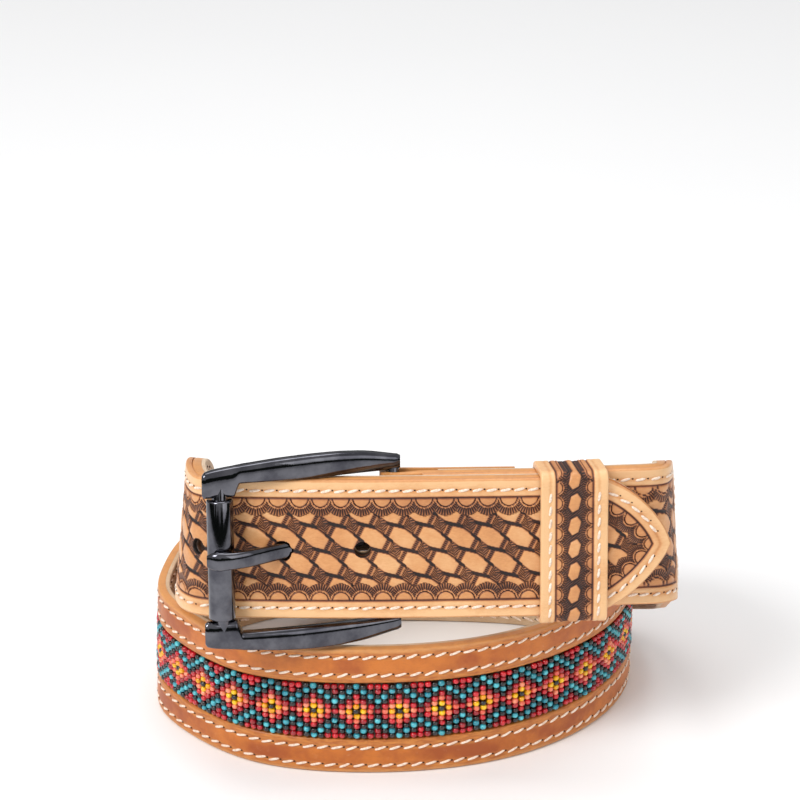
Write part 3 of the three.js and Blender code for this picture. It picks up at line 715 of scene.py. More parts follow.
WEAVE_ALONG = np.array([9.0, 0.0])
WEAVE_UP = np.array([4.9, 8.15])
PILLOW = np.array([(-4.2, 4.55), (0.1, 3.45), (5.9, -1.15), (4.2, -4.55), (-0.1, -3.45), (-5.9, 1.15)])
BORDER = 5.8
SCALLOP_PITCH = 6.45
SCALLOP_REACH = (2.75, 2.85)


def weave(u, v):
    """Tone, line mask, line phase and height of the basketweave."""
    sides = np.roll(PILLOW, -1, axis=0) - PILLOW
    normals = np.stack([sides[:, 1], -sides[:, 0]], axis=1)
    normals /= np.linalg.norm(normals, axis=1, keepdims=True)
    j0 = np.round(v / WEAVE_UP[1])
    i0 = np.round((u - j0 * WEAVE_UP[0]) / WEAVE_ALONG[0])
    best = np.full(u.shape, -99.0)
    reach = np.zeros(u.shape + (6,))
    local = np.zeros(u.shape + (2,))
    for di in (-1, 0, 1):
        for dj in (-1, 0, 1):
            i, j = i0 + di, j0 + dj
            pu = u - i * WEAVE_ALONG[0] - j * WEAVE_UP[0]
            pv = v - j * WEAVE_UP[1]
            gaps = np.stack([
                normals[k, 0] * (pu - PILLOW[k, 0]) + normals[k, 1] * (pv - PILLOW[k, 1]) for k in range(6)
            ], axis=-1)
            inside = gaps.min(axis=-1)
            nearer = inside > best
            best = np.where(nearer, inside, best)
            reach = np.where(nearer[..., None], gaps, reach)
            local = np.where(nearer[..., None], np.stack([pu, pv], axis=-1), local)
    ends = np.minimum(reach[..., 2], reach[..., 5])
    bars = np.minimum(reach[..., 0], reach[..., 3])
    slants = np.minimum(reach[..., 1], reach[..., 4])
    smooth = np.minimum(np.minimum(bars - 0.25, slants - 0.1), ends - 1.75)
    dome = smooth_step(0.0, 0.95, smooth)
    tone = 0.42 + 0.4 * smooth_step(-0.1, 0.35, smooth)
    height = 0.5 + 0.5 * dome
    band = (smooth < 0) & (ends < 1.95)
    ridge = smooth_step(0.75, 0.5, ends)
    tone = np.where(band, 0.24 + 0.42 * ridge, tone)
    height = np.where(band, 0.42 + 0.38 * ridge, height)
    mask = np.where(band & (ends > 0.7), 0.9, 0.0)
    end_side = sides[2] / np.linalg.norm(sides[2])
    phase = (local[..., 0] * end_side[0] + local[..., 1] * end_side[1]) / 0.62
    strip = best < 0
    rise = WEAVE_UP - WEAVE_ALONG * 0.35
    rise = rise / np.linalg.norm(rise)
    strip_phase = (local[..., 0] * rise[0] + local[..., 1] * rise[1] + 0.1 * local[..., 0] ** 2) / 0.8
    tone = np.where(strip, 0.36, tone)
    height = np.where(strip, 0.36, height)
    mask = np.where(strip, 1.0, mask)
    phase = np.where(strip, strip_phase, phase)
    cut = smooth_step(0.62, 0.34, bars) * (best > -0.25)
    corner = (np.abs(local[..., 0]) > 3.0) & (slants < bars + 3)
    cut = np.maximum(cut, smooth_step(0.5, 0.24, slants) * corner * (best > -0.2))
    tone = tone * (1 - cut)
    height = height * (1 - cut)
    mask = mask * (1 - cut)
    return tone, mask, phase, height


def tooling(u, v, edge, run, offset):
    """Tone, line mask, line phase and height over an overlay."""
    tone, mask, phase, height = weave(u, v)
    deep = edge - BORDER
    cell = (run - offset) / SCALLOP_PITCH
    side = (cell - np.round(cell)) * SCALLOP_PITCH
    ring = np.sqrt((side / SCALLOP_REACH[0]) ** 2 + (np.maximum(deep, 0) / SCALLOP_REACH[1]) ** 2)
    angle = np.arctan2(np.maximum(deep, 0), side)
    burst = ring < 2.0 - 0.1 * np.abs(np.sin(angle * 2))
    fade = smooth_step(1.2, 2.0, ring)
    tone = np.where(burst, 0.22 + 0.2 * fade, tone)
    height = np.where(burst, 0.35 + 0.35 * fade, height)
    mask = np.where(burst, 1.0, mask)
    phase = np.where(burst, angle * 19 / np.pi, phase)
    ridge = (ring > 1.0) & (ring < 1.2)
    tone = np.where(ridge, 0.72, tone)
    height = np.where(ridge, 0.85, height)
    mask = np.where(ridge, 0.0, mask)
    arc = ring <= 1.02
    rim = smooth_step(0.96, 0.86, ring)
    tone = np.where(arc, 0.02 + 0.74 * rim, tone)
    height = np.where(arc, 0.08 + (0.9 - 0.25 * ring ** 2) * rim, height)
    mask = np.where(arc, 0.0, mask)
    crease = np.exp(-((deep + 0.05) / 0.34) ** 2)
    border = deep < 0
    tone = np.where(border, 0.93 + 0.1 * smooth_step(3.6, 0.3, edge), tone)
    height = np.where(border, 1.0, height)
    mask = np.where(border, 0.0, mask)
    tone = tone * (1 - 0.8 * crease)
    height = height * (1 - 0.8 * crease)
    groove = np.exp(-((edge - 3.4) / 0.5) ** 2)
    tone = tone - 0.16 * groove
    height = height - 0.2 * groove
    return tone, mask, phase, height


EDGE_STEPS = np.array([0.0, 0.07, 0.2, 0.42, 0.75])
EDGE_RADIUS = 0.75
RELIEF = 0.55


def overlay_skin(lengths, half_width_at, columns, outline, offset):
    """Rings over an overlay with its tooled front, with the place and tooling of each point."""
    half = half_width_at(lengths)[:, None]
    squeeze = np.minimum(half / 2.5, 1)
    edges = EDGE_STEPS[None] * squeeze
    inner = np.linspace(-1, 1, columns)[None] * (half - EDGE_STEPS[-1] * squeeze)
    across = np.concatenate([-half + edges[:, :-1], inner, (half - edges[:, :-1])[:, ::-1]], axis=1)
    edge, run = outline.measure(lengths, across)
    u = lengths[:, None] - heel_on_billet - 2.8
    v = across - 3.75
    tone, mask, phase, height = tooling(u + 0 * v, v, edge, run, offset)
    round_over = EDGE_RADIUS * (1 - np.sqrt(1 - np.clip(1 - edge / EDGE_RADIUS, 0, 1) ** 2))
    front = OVERLAY_TOP - RELIEF * (1 - height) - round_over
    tone = np.where(edge < 0.5, 0.8, tone)
    bottom = np.concatenate([half, -half], axis=1)
    ring_across = np.concatenate([across, bottom], axis=1)
    ring_out = np.concatenate([front, np.full(bottom.shape, OVERLAY_BOTTOM)], axis=1)
    values = np.stack([tone, mask, phase], axis=-1)
    edge_values = np.zeros(bottom.shape + (3,))
    edge_values[..., 0] = 0.72
    values = np.concatenate([values, edge_values], axis=1)
    points = Strap(lengths).place(ring_across, ring_out)
    uv = np.stack([lengths[:, None] + 0 * ring_across, ring_across], axis=-1)
    return points, uv, values


def overlay_piece(name, lengths, half_width_at, columns, outline, offset, stands_for):
    rings, uv, values = overlay_skin(lengths, half_width_at, columns, outline, offset)
    points, faces = capped_loft(rings)
    return make_piece(
        name, points, faces, tooled, "tooled_leather", stands_for, uv=uv, values=values.reshape(-1, 3), sharp=60,
    )


# Camera at the photograph's place
CAMERA_DISTANCE = 1000
CAMERA_ABOVE = math.radians(30.3)
CAMERA_TILT = math.radians(24.075)
camera_data = bpy.data.cameras.new("camera")
camera_data.sensor_width = 36
camera_data.lens = 137.3
camera_data.clip_start = 0.05
camera_data.clip_end = 50
camera = bpy.data.objects.new("camera", camera_data)
camera_place = np.array([0, -math.cos(CAMERA_ABOVE), math.sin(CAMERA_ABOVE)]) * CAMERA_DISTANCE
camera.location = (camera_place + SHIFT) / 1000
camera.rotation_euler = (math.pi / 2 - CAMERA_TILT, 0, 0)
bpy.context.scene.collection.objects.link(camera)
bpy.context.scene.camera = camera


# Holes

def hole_cutter():
    """Round holes through the billet and the tunnel that the prong passes through."""
    parts = []
    for i in range(HOLE_COUNT):
        if i == FASTENED_HOLE:
            continue
        spot = Strap([tip_length - TIP_TO_FIRST_HOLE - i * HOLE_PITCH])
        angle = np.linspace(0, 2 * np.pi, 40, endpoint=False)
        depth = np.array([-6.0, 6.0])[:, None]
        across = HOLE_RADIUS * np.cos(angle)[None] + 0 * depth
        along = HOLE_RADIUS * np.sin(angle)[None] + 0 * depth
        rings = np.concatenate([spot.place(across[k], depth[k] + 0 * across[k], along[k][None]) for k in (0, 1)])
        parts.append(capped_loft(rings))
    parts.append(prong_skin(0.55, 24))
    return stacked(parts)


def prong_rings(grown, count):
    shares = np.linspace(PRONG_SECTIONS[0, 0], PRONG_SECTIONS[-1, 0], 60)
    bends = natural_bends(PRONG_SECTIONS[:, 0], PRONG_SECTIONS[:, 1:])
    i = np.clip(np.searchsorted(PRONG_SECTIONS[:, 0], shares) - 1, 0, len(PRONG_SECTIONS) - 2)
    span = (PRONG_SECTIONS[i + 1, 0] - PRONG_SECTIONS[i, 0])[:, None]
    a = (PRONG_SECTIONS[i + 1, 0] - shares)[:, None] / span
    b = 1 - a
    curve = ((a ** 3 - a) * bends[i] + (b ** 3 - b) * bends[i + 1]) * span ** 2 / 6
    row = a * PRONG_SECTIONS[i, 1:] + b * PRONG_SECTIONS[i + 1, 1:] + curve
    across, outward = squircle(PRONG_WIDTH / 2 * row[:, 1] + grown, PRONG_THICKNESS / 2 * row[:, 2] + grown, count, 2.7)
    return lap_place(across, HEEL_OUT + row[:, 0:1] * PRONG_RISE + outward, -shares[:, None] * BAR_SPACING)


def prong_skin(grown, count):
    return capped_loft(prong_rings(grown, count))


cutter_points, cutter_faces = hole_cutter()
cutter = make_piece("cutter", cutter_points, cutter_faces, hole_shade_finish, None)


def cut_holes(piece):
    modifier = piece.modifiers.new("holes", "BOOLEAN")
    modifier.operation = "DIFFERENCE"
    modifier.solver = "MANIFOLD"
    modifier.object = cutter
    depsgraph = bpy.context.evaluated_depsgraph_get()
    cut = bpy.data.meshes.new_from_object(
        piece.evaluated_get(depsgraph), preserve_all_data_layers=True, depsgraph=depsgraph
    )
    piece.modifiers.clear()
    before = piece.data
    piece.data = cut
    bpy.data.meshes.remove(before)


# Billet overlay in two pieces: close relief on the front, coarser round the left and the back
billet_outline = Outline(billet_point, tip_length, billet_half_width)
BILLET_SPLIT = heel_on_billet - 74
scallop_offset = np.interp(heel_on_billet + 3.1, billet_outline.points[6:-6, 0], billet_outline.run[6:-6])
billet_front = overlay_piece(
    "billet_tooled_front", stations(BILLET_SPLIT, tip_length, 0.27, tip=True), billet_half_width, 138,
    billet_outline, scallop_offset, ("billet_overlay",),
)
billet_back = overlay_piece(
    "billet_tooled_back", stations(billet_point, BILLET_SPLIT, 0.5), billet_half_width, 88,
    billet_outline, scallop_offset, (),
)
buckle_outline = Outline(heel_length + BUCKLE_OVERLAY_START, buckle_point, buckle_half_width)
buckle_tooled = overlay_piece(
    "buckle_tooled", stations(heel_length + BUCKLE_OVERLAY_START, buckle_point, 0.5), buckle_half_width, 88,
    buckle_outline, 0, ("buckle_overlay",),
)
cut_holes(billet_front)


# Body leather: tail, fold round the heel bar, then the whole strap with its bead channel

def body_front(edge, channel):
    """Height of the front at a distance from the edge."""
    bumps = np.array([
        [0, -0.7], [0.08, -0.45], [0.25, -0.2], [0.55, -0.04], [1.0, 0.02], [2.2, 0.04], [2.75, -0.14], [3.3, 0.02],
        [4.4, 0.08], [5.9, 0.1], [7.4, 0.08], [8.5, 0.02], [9.1, -0.14], [9.7, 0.0], [10.9, 0.02], [11.5, -0.05],
        [11.85, -0.22], [12.0, -0.5],
    ])
    height = np.interp(edge, bumps[:, 0], bumps[:, 1])
    floor = np.where(edge > 12.05, -CHANNEL_DEPTH * channel, height)
    return np.where(edge > 12.05, floor, height)


def body_leather():
    side = np.array([0, 0.08, 0.25, 0.55, 1.0, 2.2, 2.5, 2.75, 3.0, 3.3, 4.4, 5.9, 7.4, 8.5, 8.8, 9.1, 9.4, 9.7,
                     10.9, 11.5, 11.85, 12.0, 12.1, 16.0])
    edge = np.concatenate([side, [HALF_STRAP], side[::-1]])
    sign = np.concatenate([-np.ones(len(side)), [0], np.ones(len(side))])
    full = sign * (HALF_STRAP - edge)
    bar_behind = FOLD_FORWARD - FOLD_INNER - FOLD_THICKNESS
    fold_outer = FOLD_INNER + FOLD_THICKNESS
    rings = []
    places = []

    def add(strap, lengths, half, front, back, front_along=0.0, back_along=0.0):
        rows = len(lengths)
        across = full[None] * (half / HALF_STRAP)[:, None]
        ring_across = np.concatenate([across, half[:, None], -half[:, None]], axis=1)
        ring_out = np.concatenate([front, back[:, None], back[:, None]], axis=1)
        along = np.concatenate([np.full((rows, len(full)), front_along), np.full((rows, 2), back_along)], axis=1)
        rings.append(strap.place(ring_across, ring_out, along))
        places.append(np.stack([np.asarray(lengths)[:, None] + 0 * ring_across, ring_across], axis=-1))

    rounded = np.minimum(body_front(edge, 0), 0)
    tail = np.linspace(heel_length + FOLD_TAIL, heel_length + 1.2, 24)
    settled = smooth_step(0, FOLD_EASE, tail - heel_length)
    face = (bar_behind - FOLD_INNER) * (1 - settled) - 4.4 * settled
    add(Strap(tail), tail, np.full(len(tail), HALF_STRAP), face[:, None] - FOLD_THICKNESS - rounded[None], face)
    for angle in np.linspace(np.pi, 0, 17):
        outward = bar_behind + math.cos(angle) * np.full((1, len(full)), fold_outer)
        add(
            Strap([heel_length]), [heel_length], np.array([HALF_STRAP]), outward,
            np.array([bar_behind + math.cos(angle) * FOLD_INNER]),
            -math.sin(angle) * fold_outer, -math.sin(angle) * FOLD_INNER,
        )
    run = stations(heel_length + 2.5, tip_length, 2.0, tip=True)
    for bound in (bead_start, bead_end, billet_point + TONGUE_LENGTH, buckle_point - TONGUE_LENGTH):
        run = np.sort(np.concatenate([run[np.abs(run - bound) > 0.3], [bound - 0.15, bound + 0.15]]))
    channel = ((run > bead_start) & (run < bead_end)).astype(float)
    front = np.stack([body_front(edge, c) for c in channel])
    forward = FOLD_FORWARD * (1 - smooth_step(0, BUCKLE_OVERLAY_START, run - heel_length))
    covered = smooth_step(billet_point + TONGUE_LENGTH - 6, billet_point + TONGUE_LENGTH, run)
    covered += smooth_step(buckle_point - TONGUE_LENGTH + 6, buckle_point - TONGUE_LENGTH, run)
    covered *= smooth_step(4, BUCKLE_OVERLAY_START, run - heel_length)
    thickness = FOLD_THICKNESS + (BODY_THICKNESS - FOLD_THICKNESS) * smooth_step(5, LINING_START, run - heel_length)
    front = front + forward[:, None] + 0.44 * covered[:, None]
    add(Strap(run), run, tip_half_width(run), front, forward - thickness)
    points, faces = capped_loft(np.concatenate(rings))
    return make_piece(
        "belt_body", points, faces, saddle, "saddle_leather", ("body_leather",),
        uv=np.concatenate(places).reshape(-1, 2), sharp=50,
    )


def belt_lining():
    lengths = stations(heel_length + LINING_START, tip_length, 2.0, tip=True)
    half = tip_half_width(lengths)[:, None]
    squeeze = np.minimum(half / 2.5, 1)
    steps = np.array([0.0, 0.1, 0.3, 0.7])[None] * squeeze
    drop = np.array([0.5, 0.25, 0.08, 0.0])[None]
    inner = np.linspace(-1, 1, 9)[None] * (half - 1.2 * squeeze)
    back = np.concatenate([-half + steps, inner, (half - steps)[:, ::-1]], axis=1)
    rise = np.concatenate([drop + 0 * steps, 0 * inner, (drop + 0 * steps)[:, ::-1]], axis=1)
    ring_across = np.concatenate([back, half, -half], axis=1)
    ring_out = np.concatenate([LINING_INNER + rise, np.full((len(lengths), 2), LINING_OUTER)], axis=1)
    points, faces = capped_loft(Strap(lengths).place(ring_across, ring_out))
    uv = np.stack([lengths[:, None] + 0 * ring_across, ring_across], axis=-1)
    return make_piece("belt_lining", points, faces, lining_finish, "lining_leather", ("lining",), uv=uv, sharp=50)


body = body_leather()
lining = belt_lining()
cut_holes(body)
cut_holes(lining)


# Beads: eleven across, in a repeat of six rows
CHART = ["TKRPYKYPRKT", "KTKRPYPRKTK", "RKTKRPRKTKR", "RRKTKRKTKRR", "RKTKRPRKTKR", "KTKRPYPRKTK"]
ROW_PITCH = 2.27
COLUMN_PITCH = 1.775
BEAD_PROFILE = np.array([[-0.8, 0.42], [-0.68, 0.82], [-0.3, 1.06], [0.3, 1.06], [0.68, 0.82], [0.8, 0.42]])
BEAD_SIDES = 9

low_front = (close_points[:, 1] < 0) & (close_points[:, 2] < STRAP_WIDTH * 0.6)
chart_zero = float(np.interp(-0.15, close_points[low_front, 0], close_lengths[low_front]))


def bead_rows():
    first = math.ceil((bead_start + 1.4 - chart_zero) / ROW_PITCH)
    last = math.floor((bead_end - 1.4 - chart_zero) / ROW_PITCH)
    return np.arange(first, last + 1)


def bead_pieces():
    rows = bead_rows()
    row, column = np.meshgrid(rows, np.arange(11), indexing="ij")
    row, column = row.ravel(), column.ravel()
    letters = np.array([list(line) for line in CHART])[row % 6, column]
    lengths = chart_zero + row * ROW_PITCH + random.normal(0, 0.09, len(row))
    across = (column - 5) * COLUMN_PITCH + random.normal(0, 0.07, len(row))
    outward = -0.62 + random.normal(0, 0.07, len(row))
    size = 1 + random.normal(0, 0.035, len(row))
    tilt = random.normal(0, 0.09, len(row))
    spot = Strap(lengths)
    angle = np.linspace(0, 2 * np.pi, BEAD_SIDES, endpoint=False)
    axis = BEAD_PROFILE[:, 0][:, None] + 0 * angle
    along = BEAD_PROFILE[:, 1][:, None] * np.cos(angle)
    depth = BEAD_PROFILE[:, 1][:, None] * np.sin(angle)
    axis, along, depth = (part.ravel() for part in (axis, along, depth))
    turned_axis = axis[None] * np.cos(tilt)[:, None] - along[None] * np.sin(tilt)[:, None]
    turned_along = axis[None] * np.sin(tilt)[:, None] + along[None] * np.cos(tilt)[:, None]
    points = spot.place(
        across[:, None] + turned_axis * size[:, None],
        outward[:, None] + depth[None] * size[:, None],
        turned_along * size[:, None],
    )
    per_bead = points.shape[1]
    quads = loft_faces(len(BEAD_PROFILE), BEAD_SIDES)[:, ::-1]
    ends = np.stack([np.arange(BEAD_SIDES), (np.arange(BEAD_SIDES) + per_bead - BEAD_SIDES)[::-1]])
    first = True
    for letter, (label, finish) in BEAD_FINISHES.items():
        chosen = points[letters == letter]
        offsets = (np.arange(len(chosen)) * per_bead)[:, None, None]
        faces = [
            (quads[None] + offsets).reshape(-1, 4),
            (ends[None] + offsets).reshape(-1, BEAD_SIDES),
        ]
        make_piece(
            f"beads_{label}", chosen, faces, finish, "seed_beads", ("bead_band",) if first else (), sharp=80,
        )
        first = False


bead_pieces()


# Stitches

def stitch_points(lengths, across, height, slope, long, radius):
    """Rounded stitches, each dipping into the leather at both ends."""
    a = np.linspace(-1, 1, 7)
    angle = np.linspace(0, 2 * np.pi, 6, endpoint=False)
    girth = radius * np.sqrt(1 - 0.82 * np.abs(a) ** 4)
    lift = radius * 0.75 * (1 - a ** 2)
    along = (a * long / 2)[:, None] + 0 * angle
    sideways = girth[:, None] * np.cos(angle)
    upward = lift[:, None] + girth[:, None] * np.sin(angle) * 0.8 - radius * 0.35
    along, sideways, upward = (part.ravel()[None] for part in (along, sideways, upward))
    cosine, sine = np.cos(slope)[:, None], np.sin(slope)[:, None]
    return Strap(lengths).place(
        across[:, None] + along * sine + sideways * cosine,
        height[:, None] + upward,
        along * cosine - sideways * sine,
    )


def stitch_faces(count, rows=7, sides=6):
    quads = loft_faces(rows, sides)
    ends = np.stack([np.arange(sides)[::-1], np.arange(sides) + (rows - 1) * sides])
    offsets = (np.arange(count) * rows * sides)[:, None, None]
    return [(quads[None] + offsets).reshape(-1, 4), (ends[None] + offsets).reshape(-1, sides)]


stitch_sets = []
hole_shade_sets = []


def add_stitches(lengths, across, height, slope, long, radius=0.45):
    count = len(lengths)
    height = np.broadcast_to(height, (count,))
    jitter = random.normal(0, 0.04, count)
    slope = slope + random.normal(0, 0.05, count)
    stitch_sets.append(stitch_points(lengths, across + jitter, height, slope, long, radius).reshape(-1, 42, 3))
    # Painted shade: a small dark blob just under each end of the stitch stands for the shade in its needle hole.
    ends = long / 2 + 0.22
    hole_lengths = lengths + ends * np.cos(slope)
    hole_across = across + ends * np.sin(slope) * 0.5
    hole_shade_sets.append(
        stitch_points(hole_lengths, hole_across, height - 0.02, slope, 0.8, 0.3).reshape(-1, 42, 3)
    )


def strap_stitches():
    """Two rows along each side of the bare strap, and one row along each side of the lining."""
    pitch = 4.6
    lengths = np.arange(buckle_point - TONGUE_LENGTH + 3, billet_point + TONGUE_LENGTH - 2, pitch)
    for inset in (2.75, 9.1):
        for side in (-1, 1):
            across = np.full(len(lengths), side * (HALF_STRAP - inset))
            shifted = lengths + random.uniform(0, pitch)
            add_stitches(shifted, across, -0.1, 0.3, pitch - 0.45, 0.43)
    whole = np.arange(heel_length + 45, tip_length - 24, pitch)
    for side in (-1, 1):
        across = np.full(len(whole), side * (HALF_STRAP - 2.75))
        add_stitches(whole, across, LINING_INNER - 0.12, 0.3, pitch - 0.9, 0.42)


def overlay_stitches(outline, half_from):
    line = outline.inset(3.4)
    run = np.concatenate([[0], np.cumsum(np.linalg.norm(np.diff(line, axis=0), axis=1))])
    steps = np.diff(run)
    breaks = np.where(steps > 3)[0]
    spots = np.arange(2.0, run[-1] - 1.5, 4.25)
    for broken in breaks:
        spots = spots[(spots < run[broken] - 1) | (spots > run[broken + 1] + 1)]
    length = np.interp(spots, run, line[:, 0])
    across = np.interp(spots, run, line[:, 1])
    ahead_length = np.interp(spots + 0.6, run, line[:, 0])
    ahead_across = np.interp(spots + 0.6, run, line[:, 1])
    slope = np.arctan2(ahead_across - across, ahead_length - length)
    kept = length > half_from
    length, across, slope = length[kept], across[kept], slope[kept]
    add_stitches(length, across, OVERLAY_TOP - 0.2, slope + 0.2, 3.85)
    add_stitches(length, -across, OVERLAY_TOP - 0.2, -slope + 0.2, 3.85)


strap_stitches()
overlay_stitches(billet_outline, billet_point + 6)
overlay_stitches(buckle_outline, heel_length + BUCKLE_OVERLAY_START + 2)


# Keeper

def keeper_path():
    """Points round the keeper's outer face, as across and outward, with their normals."""
    half = HALF_STRAP + KEEPER_CLEARANCE + KEEPER_WALL
    front = OVERLAY_TOP + KEEPER_CLEARANCE + KEEPER_WALL
    back = -(LAP_DEPTH - LINING_INNER + KEEPER_CLEARANCE) - KEEPER_WALL
    radius = KEEPER_CORNER
    corners = [
        (half - radius, front - radius, 0), (-half + radius, front - radius, 90),
        (-half + radius, back + radius, 180), (half - radius, back + radius, 270),
    ]
    points = []
    normals = []
    for index, (across, outward, start) in enumerate(corners):
        for turn in np.linspace(0, 90, 13):
            angle = math.radians(start + turn)
            points.append((across + radius * math.cos(angle), outward + radius * math.sin(angle)))
            normals.append((math.cos(angle), math.sin(angle)))
        following = corners[(index + 1) % 4]
        angle = math.radians(start + 90)
        end = (following[0] + radius * math.cos(angle), following[1] + radius * math.sin(angle))
        begin = points[-1]
        gap = math.dist(begin, end)
        count = int(gap / (0.24 if index == 0 else 1.0))
        for share in np.linspace(0, 1, count + 1)[1:-1]:
            points.append((begin[0] + (end[0] - begin[0]) * share, begin[1] + (end[1] - begin[1]) * share))
            normals.append((math.cos(angle), math.sin(angle)))
    return np.array(points), np.array(normals)


def keeper_tooling(q, w):
    """Tone, mask, phase and height over the keeper; q runs down its front and w is measured across its middle."""
    edge = KEEPER_WIDTH / 2 - np.abs(w)
    field = edge - 4.75
    pitch = 7.35
    cell = q / pitch
    local = (cell - np.round(cell)) * pitch
    turn = math.radians(-14)
    x = w * math.cos(turn) - local * math.sin(turn)
    y = w * math.sin(turn) + local * math.cos(turn)
    inside = 1.75 - np.maximum(np.abs(x), np.abs(x) * 0.45 + np.abs(y) * 0.52)
    pillow = smooth_step(0.0, 0.55, inside)
    tone = 0.2 + 0.62 * smooth_step(-0.05, 0.25, inside)
    height = 0.3 + 0.7 * pillow
    mask = np.where(inside < 0, 0.9, 0.0)
    phase = (w * 0.8 + q) / 0.8
    black = smooth_step(0.3, 0.05, np.abs(inside + 0.15)) * (np.abs(y) > 1.2)
    tone = tone * (1 - 0.9 * black)
    height = height * (1 - 0.8 * black)
    small = 4.9
    side = q - np.round(q / small) * small
    ring = np.sqrt((side / 2.05) ** 2 + (np.maximum(field, 0) / 2.0) ** 2)
    angle = np.arctan2(np.maximum(field, 0), side)
    burst = ring < 1.75
    tone = np.where(burst & (inside < 0.05), 0.24, tone)
    mask = np.where(burst & (inside < 0.05), 1.0, mask)
    phase = np.where(burst & (inside < 0.05), angle * 13 / np.pi, phase)
    ridge = (ring > 1.0) & (ring < 1.2)
    tone = np.where(ridge, 0.68, tone)
    height = np.where(ridge, 0.8, height)
    mask = np.where(ridge, 0.0, mask)
    rim = smooth_step(0.98, 0.84, ring)
    tone = np.where(ring <= 1.02, 0.05 + 0.68 * rim, tone)
    height = np.where(ring <= 1.02, 0.1 + 0.75 * rim, height)
    mask = np.where(ring <= 1.02, 0.0, mask)
    border = field < 0
    tone = np.where(border, 1.0, tone)
    height = np.where(border, 1.0, height)
    mask = np.where(border, 0.0, mask)
    crease = np.exp(-(field / 0.32) ** 2)
    tone = tone * (1 - 0.75 * crease)
    height = height * (1 - 0.8 * crease)
    groove = np.exp(-((edge - 2.9) / 0.45) ** 2)
    return tone - 0.12 * groove, mask, phase, height - 0.2 * groove


keeper_middle = Strap([heel_on_billet + KEEPER_FROM_HEEL + KEEPER_WIDTH / 2])


def keeper_piece():
    path, normals = keeper_path()
    half = KEEPER_WIDTH / 2
    steps = np.array([0.0, 0.08, 0.25, 0.5])
    w = np.concatenate([-half + steps, np.linspace(-half + 0.8, half - 0.8, 78), (half - steps)[::-1]])
    drop = 0.6 * (1 - np.sqrt(1 - np.clip(1 - (half - np.abs(w)) / 0.6, 0, 1) ** 2))
    tone, mask, phase, height = keeper_tooling(-path[:, :1] + 0 * w[None], w[None] + 0 * path[:, :1])
    sunk = 0.5 * (1 - height) + drop[None]
    across = path[:, :1] - normals[:, :1] * sunk
    outward = path[:, 1:] - normals[:, 1:] * sunk
    inner = path - normals * KEEPER_WALL
    ring_across = np.concatenate([across, inner[:, :1], inner[:, :1]], axis=1)
    ring_out = np.concatenate([outward, inner[:, 1:], inner[:, 1:]], axis=1)
    ring_along = np.concatenate([w[None] + 0 * across, np.full((len(path), 1), half), np.full((len(path), 1), -half)],
                                axis=1)
    points = (
        keeper_middle.centre[0]
        + keeper_middle.rise[0] * ring_across[..., None]
        + keeper_middle.out[0] * ring_out[..., None]
        + keeper_middle.heading[0] * ring_along[..., None]
    )
    plain = np.zeros((len(path), 2, 3))
    plain[..., 0] = 0.9
    values = np.concatenate([np.stack([tone, mask, phase], axis=-1), plain], axis=1)
    uv = np.stack([path[:, :1] + 0 * ring_across, ring_along], axis=-1)
    faces = loft_faces(len(path), ring_across.shape[1], closed_rows=True)
    flat = points.reshape(-1, 3)
    p = flat[faces] - flat.mean(axis=0)
    volume = np.einsum("ij,ij->i", p[:, 0], np.cross(p[:, 1], p[:, 2])).sum()
    volume += np.einsum("ij,ij->i", p[:, 0], np.cross(p[:, 2], p[:, 3])).sum()
    if volume < 0:
        faces = faces[:, ::-1]
    return make_piece(
        "keeper_loop", flat, [faces], tooled, "tooled_leather", ("keeper",), uv=uv, values=values.reshape(-1, 3),
        sharp=60,
    )


keeper = keeper_piece()


def keeper_stitches():
    """Rows of stitches down both borders of the keeper's front."""
    spots = np.arange(-20.4, 20.5, 4.1)
    front = OVERLAY_TOP + KEEPER_CLEARANCE + KEEPER_WALL
    for side in (-1, 1):
        a = np.linspace(-1, 1, 7)
        angle = np.linspace(0, 2 * np.pi, 6, endpoint=False)
        girth = 0.45 * np.sqrt(1 - 0.82 * np.abs(a) ** 4)
        lift = 0.34 * (1 - a ** 2)
        down = (a * 1.65)[:, None] + 0 * angle
        sideways = girth[:, None] * np.cos(angle) + down * 0.16
        upward = lift[:, None] + girth[:, None] * np.sin(angle) * 0.8 - 0.3
        across = spots[:, None] + down.ravel()[None]
        outward = np.full(across.shape, front) + upward.ravel()[None]
        along = side * (KEEPER_WIDTH / 2 - 2.9) + 0 * across + sideways.ravel()[None]
        points = (
            keeper_middle.centre[0]
            + keeper_middle.rise[0] * across[..., None]
            + keeper_middle.out[0] * outward[..., None]
            + keeper_middle.heading[0] * along[..., None]
        )
        stitch_sets.append(points)


keeper_stitches()
all_stitches = np.concatenate(stitch_sets)
all_hole_shades = np.concatenate(hole_shade_sets)
make_piece("stitches", all_stitches, stitch_faces(len(all_stitches)), cream, "saddle_leather", sharp=80)
# Painted shade: the dark blobs at the stitch ends.
make_piece("stitch_hole_shades", all_hole_shades, stitch_faces(len(all_hole_shades)), hole_shade_finish, "saddle_leather", sharp=80)


# Buckle

def frame_out(share):
    along = share * FRAME_LENGTH - HEEL_BAR_INSET
    return HEEL_OUT + (ROLLER_OUT - HEEL_OUT) * along / BAR_SPACING + FRAME_ARCH * np.sin(np.pi * share) ** 2


